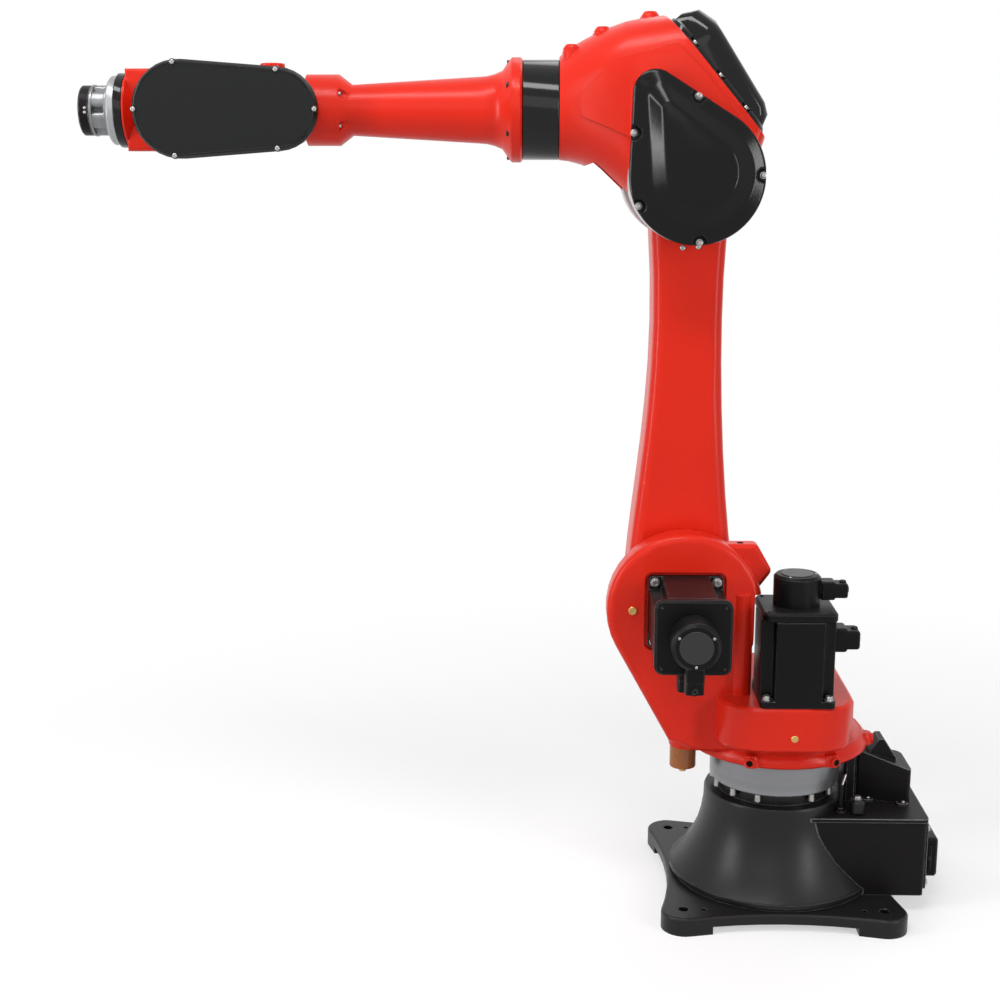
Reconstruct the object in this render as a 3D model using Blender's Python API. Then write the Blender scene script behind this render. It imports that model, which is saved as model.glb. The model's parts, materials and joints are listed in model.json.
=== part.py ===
"""Six-axis industrial robot arm with its cast base, about 1.5 m of reach.

Row frame: the origin is on the floor, on the turning axis of the turret.  +Z is up, +X is
the way the forearm points, and +Y is the arm's left, where the two large servo motors are.

Each body of the kinematic chain hangs from an empty that sits on its joint's axis.
Sections are drawn in a Plane, whose third direction is the way they are extruded.
"""

import math
from dataclasses import dataclass

import bmesh
import bpy
from mathutils import Matrix, Vector

# Kinematics, in metres
SHOULDER_REACH = 0.155
SHOULDER_HEIGHT = 0.479
ARM_LENGTH = 0.626
ROLL_OFFSET = 0.092
WRIST_REACH = 0.724
FLANGE_REACH = 0.155

# Clearances
GAP = 0.0003
RUNNING_GAP = 0.0004
SWING_GAP = 0.0053
OVERRUN = 0.010
TINY = 1e-9

# Facets of round pieces
LARGE_STEPS = 34
MEDIUM_STEPS = 28
SMALL_STEPS = 12
CORNER_STEPS = 3

# Base casting
FOOT_SPREAD = 0.150
FOOT_RADIUS = 0.034
FOOT_HEIGHT = 0.028
FOOT_EDGE = 0.004
FOOT_WAIST = 0.165
FOOT_HOLE_RADIUS = 0.008
DOWEL_HOLE_RADIUS = 0.004
DOWEL_INSET = 0.030
RELIEF_HEIGHT = 0.012
RELIEF_WIDTH = 0.216
RELIEF_INNER = 0.108
BEAD_RADIUS = 0.160
BEAD_TOP = 0.041
BEAD_LIP = 0.004
FLARE_TOP_RADIUS = 0.108
FLARE_TOP = 0.168
FLARE_POWER_SHARE = 2.3
FLARE_STEPS = 6
NECK_RADIUS = 0.088
NECK_TOP = 0.186

# Connector box behind the base
BOX_BACK = 0.222
BOX_HALF_WIDTH = 0.100
BOX_TOP = 0.153
BOX_LIP_HEIGHT = 0.006
BOX_LIP = 0.003
BOX_CORNER = 0.008
PANEL_THICKNESS = 0.004
PANEL_MARGIN = 0.006
SOCKET_DEPTH = 0.026
SOCKET_HALF_WIDTH = 0.052
SOCKET_LOW = 0.038
SOCKET_HIGH = 0.102
SOCKET_CORNER = 0.006

# Cable housing on the box
CABLE_FRONT = 0.124
CABLE_BACK = 0.206
CABLE_FRONT_HALF = 0.018
CABLE_BACK_HALF = 0.042
CABLE_TOP = 0.234
CABLE_CORNER = 0.007
CABLE_FALL = 0.026
CABLE_LID_FRONT = 0.143
CABLE_LID_PEAK_FRONT = 0.158
CABLE_LID_PEAK_BACK = 0.166
CABLE_LID_BACK = 0.186
CABLE_LID_EDGE = 0.005
CABLE_LID_TOP = 0.2505

# Stop block on the box, beside the cone
STOP_X = 0.117
STOP_Y = 0.076
STOP_HALF_LENGTH = 0.010
STOP_HALF_WIDTH = 0.013
STOP_HEIGHT = 0.023
STOP_EDGE = 0.003

# Turning gear between base and turret
GEAR_RADIUS = 0.100
GEAR_TOP = 0.2450
GEAR_EDGE = 0.002

# Turret casting
RIM_RADIUS = 0.140
RIM_HEIGHT = 0.022
RIM_EDGE = 0.003
RIM_TAPER = 0.009
LUG_RADIUS = 0.012
LUG_CIRCLE = 0.136
LUG_COUNT = 7
LUG_START_DEG = 16.0
DECK_LOW = 0.2875
DECK_TOP = 0.3515
DECK_EDGE = 0.004
DECK_BACK = 0.0955
DECK_FRONT = 0.106
DECK_LEFT = 0.172
DECK_RIGHT = 0.104
DECK_CORNER = 0.060
DECK_CORNER_STEPS = 8
NOSE_FRONT = 0.171
NOSE_LEFT = 0.100
NOSE_RIGHT = 0.036
NOSE_LOW = 0.2612
NOSE_TOP = 0.290
NOSE_CORNER = 0.026
EAR_RADIUS = 0.115
EAR_INNER = 0.0603
EAR_OUTER = 0.110
EAR_EDGE = 0.010
EAR_BACK = 0.062
EAR_NOSE_X = 0.175
EAR_NOSE_HEIGHT = 0.278
EAR_BOTTOM = 0.2612
EAR_BOTTOM_FRONT = 0.135
EAR_COLUMN_RADIUS = 0.016
EAR_COLUMN_Y = 0.099
EAR_COLUMN_TOP = 0.505
SEAT_SIZE = 0.118
SEAT_DEPTH = 0.008
SEAT_CORNER = 0.010
SHOULDER_BLOCK_OUTER = 0.092
SHOULDER_BLOCK_TOP = 0.576
SHOULDER_BLOCK_TIP_X = 0.027
SHOULDER_BLOCK_TIP_Z = 0.536
SHOULDER_BLOCK_EDGE_X = 0.050
SHOULDER_BLOCK_LOW = 0.505

# Rubber stop under the turret's nose
BUMPER_X = 0.143
BUMPER_RADIUS = 0.0205
BUMPER_LENGTH = 0.063
BUMPER_SLACK = 0.0015
BUMPER_EDGE = 0.002
BUMPER_BOLT_RADIUS = 0.0055
BUMPER_BOLT_LENGTH = 0.008

# Servo motors, two alike
MOTOR_SIZE = 0.108
MOTOR_CORNER = 0.006
MOTOR_NOTCH = 0.019
MOTOR_FLANGE = 0.010
MOTOR_BODY = 0.118
MOTOR_CAP = 0.014
MOTOR_CAP_INSET = 0.003
ENCODER_RADIUS = 0.034
ENCODER_LENGTH = 0.046
ENCODER_EDGE = 0.004
PLUG_WIDTH = 0.034
PLUG_FOOT_LENGTH = 0.020
PLUG_FOOT_HEIGHT = 0.036
PLUG_HEAD_LENGTH = 0.018
PLUG_HEAD_HEIGHT = 0.028
PLUG_CORNER = 0.004
POWER_PLUG_PLACE = 0.092
SIGNAL_PLUG_SHARE = 0.76
TURN_MOTOR_X = -0.0055
TURN_MOTOR_SLACK = 0.005
TURN_MOTOR_Y = 0.116

# Lower arm
ARM_HALF_WIDTH = 0.055
ARM_EDGE = 0.016
ARM_FOOT_RADIUS = 0.084
ARM_HEAD_RADIUS = 0.064
ARM_FRONT_LOW = 0.080
ARM_FRONT_LOW_SHARE = 0.25
ARM_FRONT_HIGH = 0.026
ARM_FRONT_HIGH_SHARE = 0.55
ARM_BACK_HIGH = 0.036
ARM_BACK_HIGH_SHARE = 0.80
ARM_BACK_LOW = 0.052
ARM_BACK_LOW_SHARE = 0.25
ARM_CURVE_STEPS = 11
SHOULDER_DISC_RADIUS = 0.074
ELBOW_DISC_RADIUS = 0.048
HUB_CAP_RADIUS = 0.060
HUB_CAP_DEPTH = 0.010
HUB_CAP_EDGE = 0.004

# Elbow housing
HUB_RADIUS = 0.094
HUB_HALF_WIDTH = 0.125
NECK_RING_RADIUS = 0.0704
HOUSING_FRONT = 0.189
SLOPE_TOP_X = 0.045
SLOPE_TOP_Z = 0.219
SLOPE_FOOT_X = 0.075
SLOPE_FOOT_Z = 0.075
SLOT_RADIUS = 0.0695
ARM_UP_DEG = 85.0
ARM_DOWN_DEG = 68.0
SECTION_STEPS = 36
BOSS_RADIUS = 0.0095
BOSS_Y = 0.034
BOSS_FLARE = 0.003
BOSS_FLARE_DEPTH = 0.006
BOSS_PLACE_SHARES = ((0.910, 0.27), (0.68, 0.61), (0.33, 0.90))

# Raised panels on the elbow housing's cheeks, from the elbow's axis
PANEL_RISE = 0.0022
PANEL_CORNER = 0.010
PANEL_POINTS = ((-0.066, 0.072), (-0.030, 0.050), (0.085, 0.050), (0.160, 0.082), (0.160, 0.110),
                (0.117, 0.158), (0.030, 0.178), (-0.008, 0.140))

# Elbow belt cover
PULLEY_X = 0.0595
PULLEY_Z = 0.1125
PULLEY_COVER_RADIUS = 0.0305
COVER_SEAT = 0.011
COVER_RISE = 0.023
COVER_EDGE = 0.003
COVER_BAND = 0.026
COVER_BAND_RISE = 0.006
COVER_WALL_RADIUS = 0.053
COVER_WALL_TIP_RADIUS = 0.015
COVER_WALL_LEAN = 0.003
COVER_SCALLOP_RADIUS = 0.0085
COVER_SCALLOP_INSET = 0.004
COVER_SCREW_SHARES = (0.158, 0.395, 0.553, 0.645, 0.987)
ELBOW_CAP_RADIUS = 0.078
ELBOW_CAP_DEPTH = 0.012

# Rear cover on the sloping face
REAR_COVER_LENGTH = 0.203
REAR_COVER_HALF_WIDTH = 0.088
REAR_COVER_HEIGHT = 0.051
REAR_COVER_CORNER = 0.040
REAR_SCALLOP_INSET = 0.003
REAR_SCREW_SHARES = (0.22, 0.50, 0.78)
REAR_COVER_START = -0.027

# Roll ring and forearm
ROLL_RING_LENGTH = 0.052
FOREARM_FLANGE_RADIUS = 0.074
FOREARM_FLANGE_LENGTH = 0.018
FOREARM_ROOT_RADIUS = 0.047
FOREARM_ROOT = 0.062
FOREARM_WAIST_RADIUS = 0.036
FOREARM_WAIST = 0.245
FOREARM_END_FLANGE_RADIUS = 0.0505
FOREARM_END_FLANGE = 0.264
TUBE_POCKET_RADIUS = 0.0065
TUBE_POCKET_CIRCLE = 0.0440
TUBE_POCKET_DEPTH = 0.003
TUBE_POCKET_COUNT = 6
FORK_RADIUS = 0.060
FORK_BACK_RADIUS = 0.052
FORK_BACK = 0.137
FORK_ROOT = 0.182
FORK_HALF_WIDTH = 0.062
FORK_EDGE = 0.007
FORK_SLOT_HALF = 0.038
FORK_FLOOR = 0.069
FORK_FLOOR_SLANT = 0.028
FORK_BOSS_X = 0.122
FORK_BOSS_RADIUS = 0.018
FORK_BOSS_TOP = 0.066
WRIST_COVER_RADIUS = 0.0686
WRIST_COVER_BACK_RADIUS = 0.058
WRIST_COVER_DEPTH = 0.014
WRIST_COVER_BAND = 0.006
WRIST_CAP_RADIUS = 0.044
WRIST_CAP_DEPTH = 0.006

# Wrist block and tool flange, measured from the wrist's axis
WRIST_HALF_WIDTH = 0.0327
WRIST_RADIUS = 0.0578
WRIST_FRONT_SHARE = 0.555
WRIST_EDGE = 0.006
WRIST_PIN_RADIUS = 0.030
WRIST_CONE_LENGTH = 0.014
WRIST_CONE_RADIUS = 0.036
SEAL_RADIUS = 0.0530
SEAL_LENGTH = 0.0125
COLLAR_RADIUS = 0.0490
COLLAR_LENGTH = 0.0120
COLLAR_EDGE = 0.003
HAND_RADIUS = 0.0365
HAND_EDGE = 0.001
TOOL_RADIUS = 0.0355
TOOL_LENGTH = 0.0152
TOOL_EDGE = 0.0015
TOOL_RECESS_RADIUS = 0.0125
TOOL_RECESS_DEPTH = 0.006
TOOL_HOLE_RADIUS = 0.003
TOOL_HOLE_CIRCLE = 0.025
TOOL_HOLE_DEPTH = 0.009
TOOL_HOLE_COUNT = 4

# Places worked out from the kinematics
ELBOW_HEIGHT = SHOULDER_HEIGHT + ARM_LENGTH
ROLL_HEIGHT = ELBOW_HEIGHT + ROLL_OFFSET
WRIST_X = SHOULDER_REACH + WRIST_REACH
ROLL_RING_BACK = SHOULDER_REACH + HOUSING_FRONT
FOREARM_BACK = ROLL_RING_BACK + GAP + ROLL_RING_LENGTH + RUNNING_GAP
FLANGE_X = WRIST_X + FLANGE_REACH
TURRET_LOW = GEAR_TOP + RUNNING_GAP
WRIST_FRONT = FLANGE_REACH * WRIST_FRONT_SHARE

SHOULDER = (SHOULDER_REACH, SHOULDER_HEIGHT)
ELBOW = (SHOULDER_REACH, ELBOW_HEIGHT)
PULLEY = (SHOULDER_REACH + PULLEY_X, ELBOW_HEIGHT + PULLEY_Z)
WRIST = (WRIST_X, ROLL_HEIGHT)
FORK_TAIL = (WRIST_X - FORK_BACK, ROLL_HEIGHT)

PIVOTS = {
    "base": Vector((0, 0, 0)),
    "turret": Vector((0, 0, TURRET_LOW)),
    "lower_arm": Vector((SHOULDER_REACH, 0, SHOULDER_HEIGHT)),
    "elbow": Vector((SHOULDER_REACH, 0, ELBOW_HEIGHT)),
    "forearm": Vector((FOREARM_BACK, 0, ROLL_HEIGHT)),
    "wrist": Vector((WRIST_X, 0, ROLL_HEIGHT)),
    "tool": Vector((FLANGE_X, 0, ROLL_HEIGHT)),
}

# Finishes: colour, roughness, metallic
RED_PAINT = ((0.78, 0.045, 0.025), 0.35, 0.0)
BLACK_PAINT = ((0.022, 0.022, 0.024), 0.45, 0.0)
BLACK_GLOSS = ((0.012, 0.013, 0.013), 0.18, 0.0)
BLACK_PLASTIC = ((0.015, 0.015, 0.017), 0.50, 0.0)
BARE_STEEL = ((0.50, 0.51, 0.53), 0.32, 0.9)
PALE_ALLOY = ((0.72, 0.72, 0.73), 0.35, 0.8)
AMBER_RUBBER = ((0.62, 0.24, 0.03), 0.40, 0.0)
BRASS = ((0.70, 0.52, 0.22), 0.35, 1.0)


@dataclass(frozen=True)
class Plane:
    """A drawing plane: a section's two directions, and the way out of it."""

    origin: Vector
    across: Vector
    up: Vector
    out: Vector

    def place(self, u, v, w):
        return self.origin + self.across * u + self.up * v + self.out * w


def plan(x=0.0, y=0.0, z=0.0):
    """A plane seen from above, with depths along +Z."""
    return Plane(Vector((x, y, z)), Vector((1, 0, 0)), Vector((0, 1, 0)), Vector((0, 0, 1)))


def side(x=0.0, y=0.0, z=0.0):
    """A plane seen from the side, X across and Z up, with depths along +Y."""
    return Plane(Vector((x, y, z)), Vector((1, 0, 0)), Vector((0, 0, 1)), Vector((0, 1, 0)))


def front(x=0.0, y=0.0, z=0.0):
    """A plane seen from the tool's end, Y across and Z up, with depths along +X."""
    return Plane(Vector((x, y, z)), Vector((0, 1, 0)), Vector((0, 0, 1)), Vector((1, 0, 0)))


def arc(centre, radius, start_deg, end_deg, steps):
    """Points along a circular arc, both ends included."""
    points = []
    for index in range(steps + 1):
        angle = math.radians(start_deg + (end_deg - start_deg) * index / steps)
        points.append((centre[0] + radius * math.cos(angle), centre[1] + radius * math.sin(angle)))
    return points


def circle(radius, steps, centre=(0.0, 0.0)):
    return arc(centre, radius, 0.0, 360.0, steps)[:-1]


def bezier(first, second, third, fourth, steps):
    """Points along a cubic curve, both ends included."""
    points = []
    for index in range(steps + 1):
        t = index / steps
        s = 1 - t
        weights = (s ** 3, 3 * s * s * t, 3 * s * t * t, t ** 3)
        knots = (first, second, third, fourth)
        x = sum(weight * knot[0] for weight, knot in zip(weights, knots))
        y = sum(weight * knot[1] for weight, knot in zip(weights, knots))
        points.append((x, y))
    return points


def belt_outline(centre_a, radius_a, centre_b, radius_b, steps):
    """The outline of a belt round two circles, anticlockwise."""
    run = math.hypot(centre_b[0] - centre_a[0], centre_b[1] - centre_a[1])
    heading = math.degrees(math.atan2(centre_b[1] - centre_a[1], centre_b[0] - centre_a[0]))
    spread = math.degrees(math.acos((radius_a - radius_b) / run))
    share_a = (360.0 - 2 * spread) / 360.0
    steps_a = max(4, round(steps * share_a))
    steps_b = max(4, steps - steps_a)
    points = arc(centre_a, radius_a, heading + spread, heading + 360.0 - spread, steps_a)
    points += arc(centre_b, radius_b, heading - spread, heading + spread, steps_b)
    return points


def rounded(corners, radii, steps=CORNER_STEPS):
    """A polygon, anticlockwise, with each corner rounded to its own radius."""
    points = []
    count = len(corners)
    for index, radius in enumerate(radii):
        corner = Vector(corners[index])
        before = (Vector(corners[index - 1]) - corner).normalized()
        after = (Vector(corners[(index + 1) % count]) - corner).normalized()
        if radius == 0:
            points.append(tuple(corner))
            continue
        half = before.angle(after) / 2
        reach = radius / math.tan(half)
        middle = corner + (before + after).normalized() * (radius / math.sin(half))
        start = corner + before * reach - middle
        finish = corner + after * reach - middle
        turn = start.angle_signed(finish)
        for step in range(steps + 1):
            spoke = start.copy()
            spoke.rotate(Matrix.Rotation(-turn * step / steps, 2))
            points.append(tuple(middle + spoke))
    return points


def rectangle(left, right, low, high, radius):
    corners = [(left, low), (right, low), (right, high), (left, high)]
    return rounded(corners, [radius] * 4)


def inset_outline(outline, inset):
    """Move each point of an anticlockwise outline inwards along its mitre."""
    if inset == 0:
        return list(outline)
    moved = []
    count = len(outline)
    for index in range(count):
        here = Vector(outline[index])
        before = (here - Vector(outline[index - 1])).normalized()
        after = (Vector(outline[(index + 1) % count]) - here).normalized()
        inward = Vector((-before.y, before.x)) + Vector((-after.y, after.x))
        mitre = inward * (2 * inset / inward.length_squared)
        moved.append(tuple(here + mitre))
    return moved


def along(outline, share):
    """The point at a share of the way through a closed outline's points."""
    place = share * len(outline)
    index = int(place)
    start = Vector(outline[index])
    finish_point = Vector(outline[(index + 1) % len(outline)])
    return tuple(start.lerp(finish_point, place - index))


def rounded_levels(low, high, radius, steps=CORNER_STEPS):
    """Depths and insets of an extrusion whose two rims are rounded."""
    levels = []
    for step in range(steps + 1):
        angle = math.pi / 2 * step / steps
        levels.append((low + radius * (1 - math.sin(angle)), radius * (1 - math.cos(angle))))
    levels.reverse()
    top = [(low + high - depth, inset) for depth, inset in reversed(levels)]
    return levels + top


def new_object(name, shape):
    """Close a bmesh, turn its faces outwards and link it as an object."""
    bmesh.ops.recalc_face_normals(shape, faces=shape.faces)
    mesh = bpy.data.meshes.new(name)
    shape.to_mesh(mesh)
    shape.free()
    thing = bpy.data.objects.new(name, mesh)
    bpy.context.scene.collection.objects.link(thing)
    return thing


def loft(name, rings):
    """Skin closed rings of equal count, with a flat face at each end."""
    shape = bmesh.new()
    loops = [[shape.verts.new(point) for point in ring] for ring in rings]
    count = len(loops[0])
    for lower, upper in zip(loops, loops[1:]):
        for index in range(count):
            following = (index + 1) % count
            shape.faces.new((lower[index], lower[following], upper[following], upper[index]))
    shape.faces.new(list(reversed(loops[0])))
    shape.faces.new(loops[-1])
    return new_object(name, shape)


def stack(name, plane, outline, levels):
    """Extrude an outline through levels of depth, each with its own inset."""
    rings = []
    for depth, inset in levels:
        ring = [plane.place(u, v, depth) for u, v in inset_outline(outline, inset)]
        rings.append(ring)
    return loft(name, rings)


def turned(name, plane, profile, steps):
    """Spin a profile of (radius, depth) about a plane's origin."""
    rings = []
    for radius, depth in profile:
        rings.append([plane.place(u, v, depth) for u, v in circle(radius, steps)])
    return loft(name, rings)


def settle(thing):
    """Replace an object's mesh by what its modifiers make of it."""
    graph = bpy.context.evaluated_depsgraph_get()
    shaped = bpy.data.meshes.new_from_object(thing.evaluated_get(graph))
    rough = thing.data
    thing.modifiers.clear()
    thing.data = shaped
    bpy.data.meshes.remove(rough)


def combine(thing, tools, operation):
    """Boolean each tool into an object, then throw the tool away."""
    for tool in tools:
        modifier = thing.modifiers.new(operation.lower(), "BOOLEAN")
        modifier.object = tool
        modifier.operation = operation
        modifier.solver = "EXACT"
        settle(thing)
        mesh = tool.data
        bpy.data.objects.remove(tool)
        bpy.data.meshes.remove(mesh)
    return thing


def fuse(thing, *tools):
    return combine(thing, tools, "UNION")


def cut(thing, *tools):
    return combine(thing, tools, "DIFFERENCE")


def finish(thing, body, look):
    """Give an object its material and shading, and hang it on its body's pivot."""
    colour, roughness, metallic = look
    material = bpy.data.materials.new(thing.name)
    material.use_nodes = True
    shader = material.node_tree.nodes["Principled BSDF"]
    shader.inputs["Base Color"].default_value = (*colour, 1.0)
    shader.inputs["Roughness"].default_value = roughness
    shader.inputs["Metallic"].default_value = metallic
    thing.data.name = thing.name
    thing.data.materials.clear()
    thing.data.materials.append(material)
    thing.data.shade_smooth()
    thing.data.set_sharp_from_angle(angle=math.radians(32))
    thing.data.transform(Matrix.Translation(-PIVOTS[body]))
    thing.parent = bpy.data.objects[body + "_pivot"]
    return thing


def build_pivots():
    """One empty on each joint's axis, each hung from the one before it."""
    previous = None
    place = Vector((0, 0, 0))
    for body, pivot in PIVOTS.items():
        empty = bpy.data.objects.new(body + "_pivot", None)
        bpy.context.scene.collection.objects.link(empty)
        empty.parent = previous
        empty.location = pivot - place
        previous = empty
        place = pivot


def foot_outline():
    """Four round feet joined by sides that curve inwards."""
    offset = FOOT_WAIST - FOOT_RADIUS
    top = offset ** 2 - 2 * FOOT_SPREAD ** 2
    centre = top / (2 * (offset - FOOT_SPREAD))
    hollow = centre - FOOT_WAIST
    lean = math.degrees(math.atan2(FOOT_SPREAD, centre - FOOT_SPREAD))
    points = []
    for quarter in range(4):
        turn = 90.0 * quarter
        heading = math.radians(turn + 45.0)
        reach = FOOT_SPREAD * math.sqrt(2.0)
        foot = (reach * math.cos(heading), reach * math.sin(heading))
        points += arc(foot, FOOT_RADIUS, turn - lean, turn + 90.0 + lean, 10)
        ahead = math.radians(turn + 90.0)
        middle = (centre * math.cos(ahead), centre * math.sin(ahead))
        points += arc(middle, hollow, turn - 90.0 + lean, turn - 90.0 - lean, 8)[1:-1]
    return points


def flare_profile(extra):
    """The cone's outer line from the foot plate up to the neck, grown by extra."""
    profile = [(BEAD_RADIUS - BEAD_LIP + extra, FOOT_HEIGHT + extra)]
    profile.append((BEAD_RADIUS + extra, FOOT_HEIGHT + BEAD_LIP))
    profile.append((BEAD_RADIUS + extra, BEAD_TOP - BEAD_LIP / 2))
    start = BEAD_RADIUS - BEAD_LIP
    for step in range(FLARE_STEPS + 1):
        t = step / FLARE_STEPS
        radius = FLARE_TOP_RADIUS + (start - FLARE_TOP_RADIUS) * (1 - t) ** FLARE_POWER_SHARE
        depth = BEAD_TOP + (FLARE_TOP - BEAD_LIP - BEAD_TOP) * t
        profile.append((radius + extra, depth))
    profile.append((FLARE_TOP_RADIUS - BEAD_LIP / 2 + extra, FLARE_TOP + extra))
    return profile


def build_base():
    levels = [(0, 0)] + rounded_levels(0.0, FOOT_HEIGHT, FOOT_EDGE)[CORNER_STEPS + 1:]
    plate = stack("base_casting", plan(), foot_outline(), levels)
    low = FOOT_HEIGHT - FOOT_EDGE
    cone = [(BEAD_RADIUS - BEAD_LIP, low)] + flare_profile(0.0)
    cone += [(NECK_RADIUS, FLARE_TOP), (NECK_RADIUS, NECK_TOP)]
    fuse(plate, turned("cone", plan(), cone, LARGE_STEPS))
    for x_sign in (-1, 1):
        for y_sign in (-1, 1):
            foot = (x_sign * FOOT_SPREAD, y_sign * FOOT_SPREAD)
            bore = circle(FOOT_HOLE_RADIUS, SMALL_STEPS, foot)
            cut(plate, stack("bore", plan(), bore, [(-OVERRUN, 0), (FOOT_HEIGHT + OVERRUN, 0)]))
            dowel = (foot[0] - x_sign * DOWEL_INSET, foot[1])
            bore = circle(DOWEL_HOLE_RADIUS, SMALL_STEPS, dowel)
            cut(plate, stack("bore", plan(), bore, [(-OVERRUN, 0), (FOOT_HEIGHT + OVERRUN, 0)]))
    half = RELIEF_WIDTH / 2
    far = FOOT_SPREAD + FOOT_RADIUS
    for left, right, low, high in (
            (-half, half, RELIEF_INNER, far), (-half, half, -far, -RELIEF_INNER),
            (RELIEF_INNER, far, -half, half), (-far, -RELIEF_INNER, -half, half)):
        trench = rectangle(left, right, low, high, BOX_CORNER)
        cut(plate, stack("trench", plan(), trench, [(-OVERRUN, 0), (RELIEF_HEIGHT, 0)]))
    finish(plate, "base", BLACK_PAINT)

    gear = rounded_levels(NECK_TOP + GAP, GEAR_TOP, GEAR_EDGE, 1)
    ring = stack("turning_gear", plan(), circle(GEAR_RADIUS, LARGE_STEPS), gear)
    finish(ring, "base", BARE_STEEL)


def cable_top(x):
    """Height of the cable housing's top, which falls towards its back."""
    share = (-CABLE_FRONT - x) / (CABLE_BACK - CABLE_FRONT)
    return CABLE_TOP - CABLE_FALL * share


def build_connector_box():
    low = FOOT_HEIGHT + GAP
    outline = rectangle(-BOX_BACK, 0.0, -BOX_HALF_WIDTH, BOX_HALF_WIDTH, BOX_CORNER)
    lip = BOX_TOP - BOX_LIP_HEIGHT
    levels = [(low, BOX_LIP), (lip, BOX_LIP), (lip, 0), (BOX_TOP, 0)]
    box = stack("connector_box", plan(), outline, levels)
    cone = [(BEAD_RADIUS + GAP, -OVERRUN)] + flare_profile(GAP)
    cone += [(FLARE_TOP_RADIUS + GAP, FLARE_TOP + OVERRUN)]
    cut(box, turned("cone", plan(), cone, LARGE_STEPS))
    finish(box, "base", BLACK_PAINT)

    back = front(-BOX_BACK + BOX_LIP - GAP)
    inner = BOX_HALF_WIDTH - BOX_LIP - PANEL_MARGIN
    sheet = rectangle(-inner, inner, low + PANEL_MARGIN, lip - PANEL_MARGIN, BOX_CORNER)
    panel = stack("connector_panel", back, sheet, [(-PANEL_THICKNESS, 0), (0, 0)])
    finish(panel, "base", BLACK_PAINT)

    back = front(-BOX_BACK + BOX_LIP - PANEL_THICKNESS - 2 * GAP)
    shape = rectangle(-SOCKET_HALF_WIDTH, SOCKET_HALF_WIDTH, SOCKET_LOW, SOCKET_HIGH, SOCKET_CORNER)
    levels = [(-SOCKET_DEPTH, SOCKET_CORNER / 2), (SOCKET_CORNER / 2 - SOCKET_DEPTH, 0), (0, 0)]
    finish(stack("connector_hood", back, shape, levels), "base", BLACK_PLASTIC)

    corners = [(-CABLE_BACK, -CABLE_BACK_HALF), (-CABLE_FRONT, -CABLE_FRONT_HALF),
               (-CABLE_FRONT, CABLE_FRONT_HALF), (-CABLE_BACK, CABLE_BACK_HALF)]
    outline = rounded(corners, [CABLE_CORNER] * 4)
    foot = [Vector((x, y, BOX_TOP + GAP)) for x, y in outline]
    top = [Vector((x, y, cable_top(x))) for x, y in outline]
    finish(loft("cable_housing", [foot, top]), "base", BLACK_PAINT)

    front_low = cable_top(-CABLE_LID_FRONT) + GAP
    back_low = cable_top(-CABLE_LID_BACK) + GAP
    corners = [(-CABLE_LID_BACK, back_low), (-CABLE_LID_FRONT, front_low),
               (-CABLE_LID_PEAK_FRONT, CABLE_LID_TOP), (-CABLE_LID_PEAK_BACK, CABLE_LID_TOP),
               (-CABLE_LID_BACK, back_low + CABLE_LID_EDGE)]
    lid = stack("cable_lid", side(), corners, [(-CABLE_FRONT_HALF, 0), (CABLE_FRONT_HALF, 0)])
    finish(lid, "base", BLACK_PAINT)

    block = rectangle(-STOP_HALF_LENGTH, STOP_HALF_LENGTH, -STOP_HALF_WIDTH, STOP_HALF_WIDTH, 2 * STOP_EDGE)
    levels = rounded_levels(BOX_TOP + GAP, BOX_TOP + STOP_HEIGHT, STOP_EDGE, 1)
    place = plan(-STOP_X, STOP_Y)
    finish(stack("stop_block", place, block, levels), "base", BLACK_PAINT)


def deck_outline(steps):
    """The deck's outline, met by evenly spread rays from the turning axis."""
    corners = [(-DECK_BACK, -DECK_RIGHT), (DECK_FRONT, -DECK_RIGHT),
               (DECK_FRONT, DECK_LEFT), (-DECK_BACK, DECK_LEFT)]
    outline = rounded(corners, [DECK_CORNER] * 4, DECK_CORNER_STEPS)
    points = []
    for index in range(steps):
        angle = 2 * math.pi * index / steps
        ray = Vector((math.cos(angle), math.sin(angle)))
        for place, start in enumerate(outline):
            start = Vector(start)
            run = Vector(outline[(place + 1) % len(outline)]) - start
            across = ray.x * run.y - ray.y * run.x
            if abs(across) < TINY:
                continue
            along = (start.x * run.y - start.y * run.x) / across
            share = (start.x * ray.y - start.y * ray.x) / across
            if along > 0 and 0 <= share < 1:
                points.append((ray.x * along, ray.y * along))
                break
    return points


def ear_outline():
    """The shoulder's round ear, running down to the nose in front."""
    nose = Vector((EAR_NOSE_X, EAR_NOSE_HEIGHT))
    centre = Vector(SHOULDER)
    span = nose - centre
    heading = math.degrees(math.atan2(span.y, span.x))
    spread = math.degrees(math.acos(EAR_RADIUS / span.length))
    back = math.degrees(math.acos(min(1, (SHOULDER_REACH - EAR_BACK) / EAR_RADIUS)))
    points = [(EAR_BACK, EAR_BOTTOM), (EAR_BOTTOM_FRONT, EAR_BOTTOM), tuple(nose)]
    points += arc(SHOULDER, EAR_RADIUS, heading + spread, 180.0 + back, 28)
    return points


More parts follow.
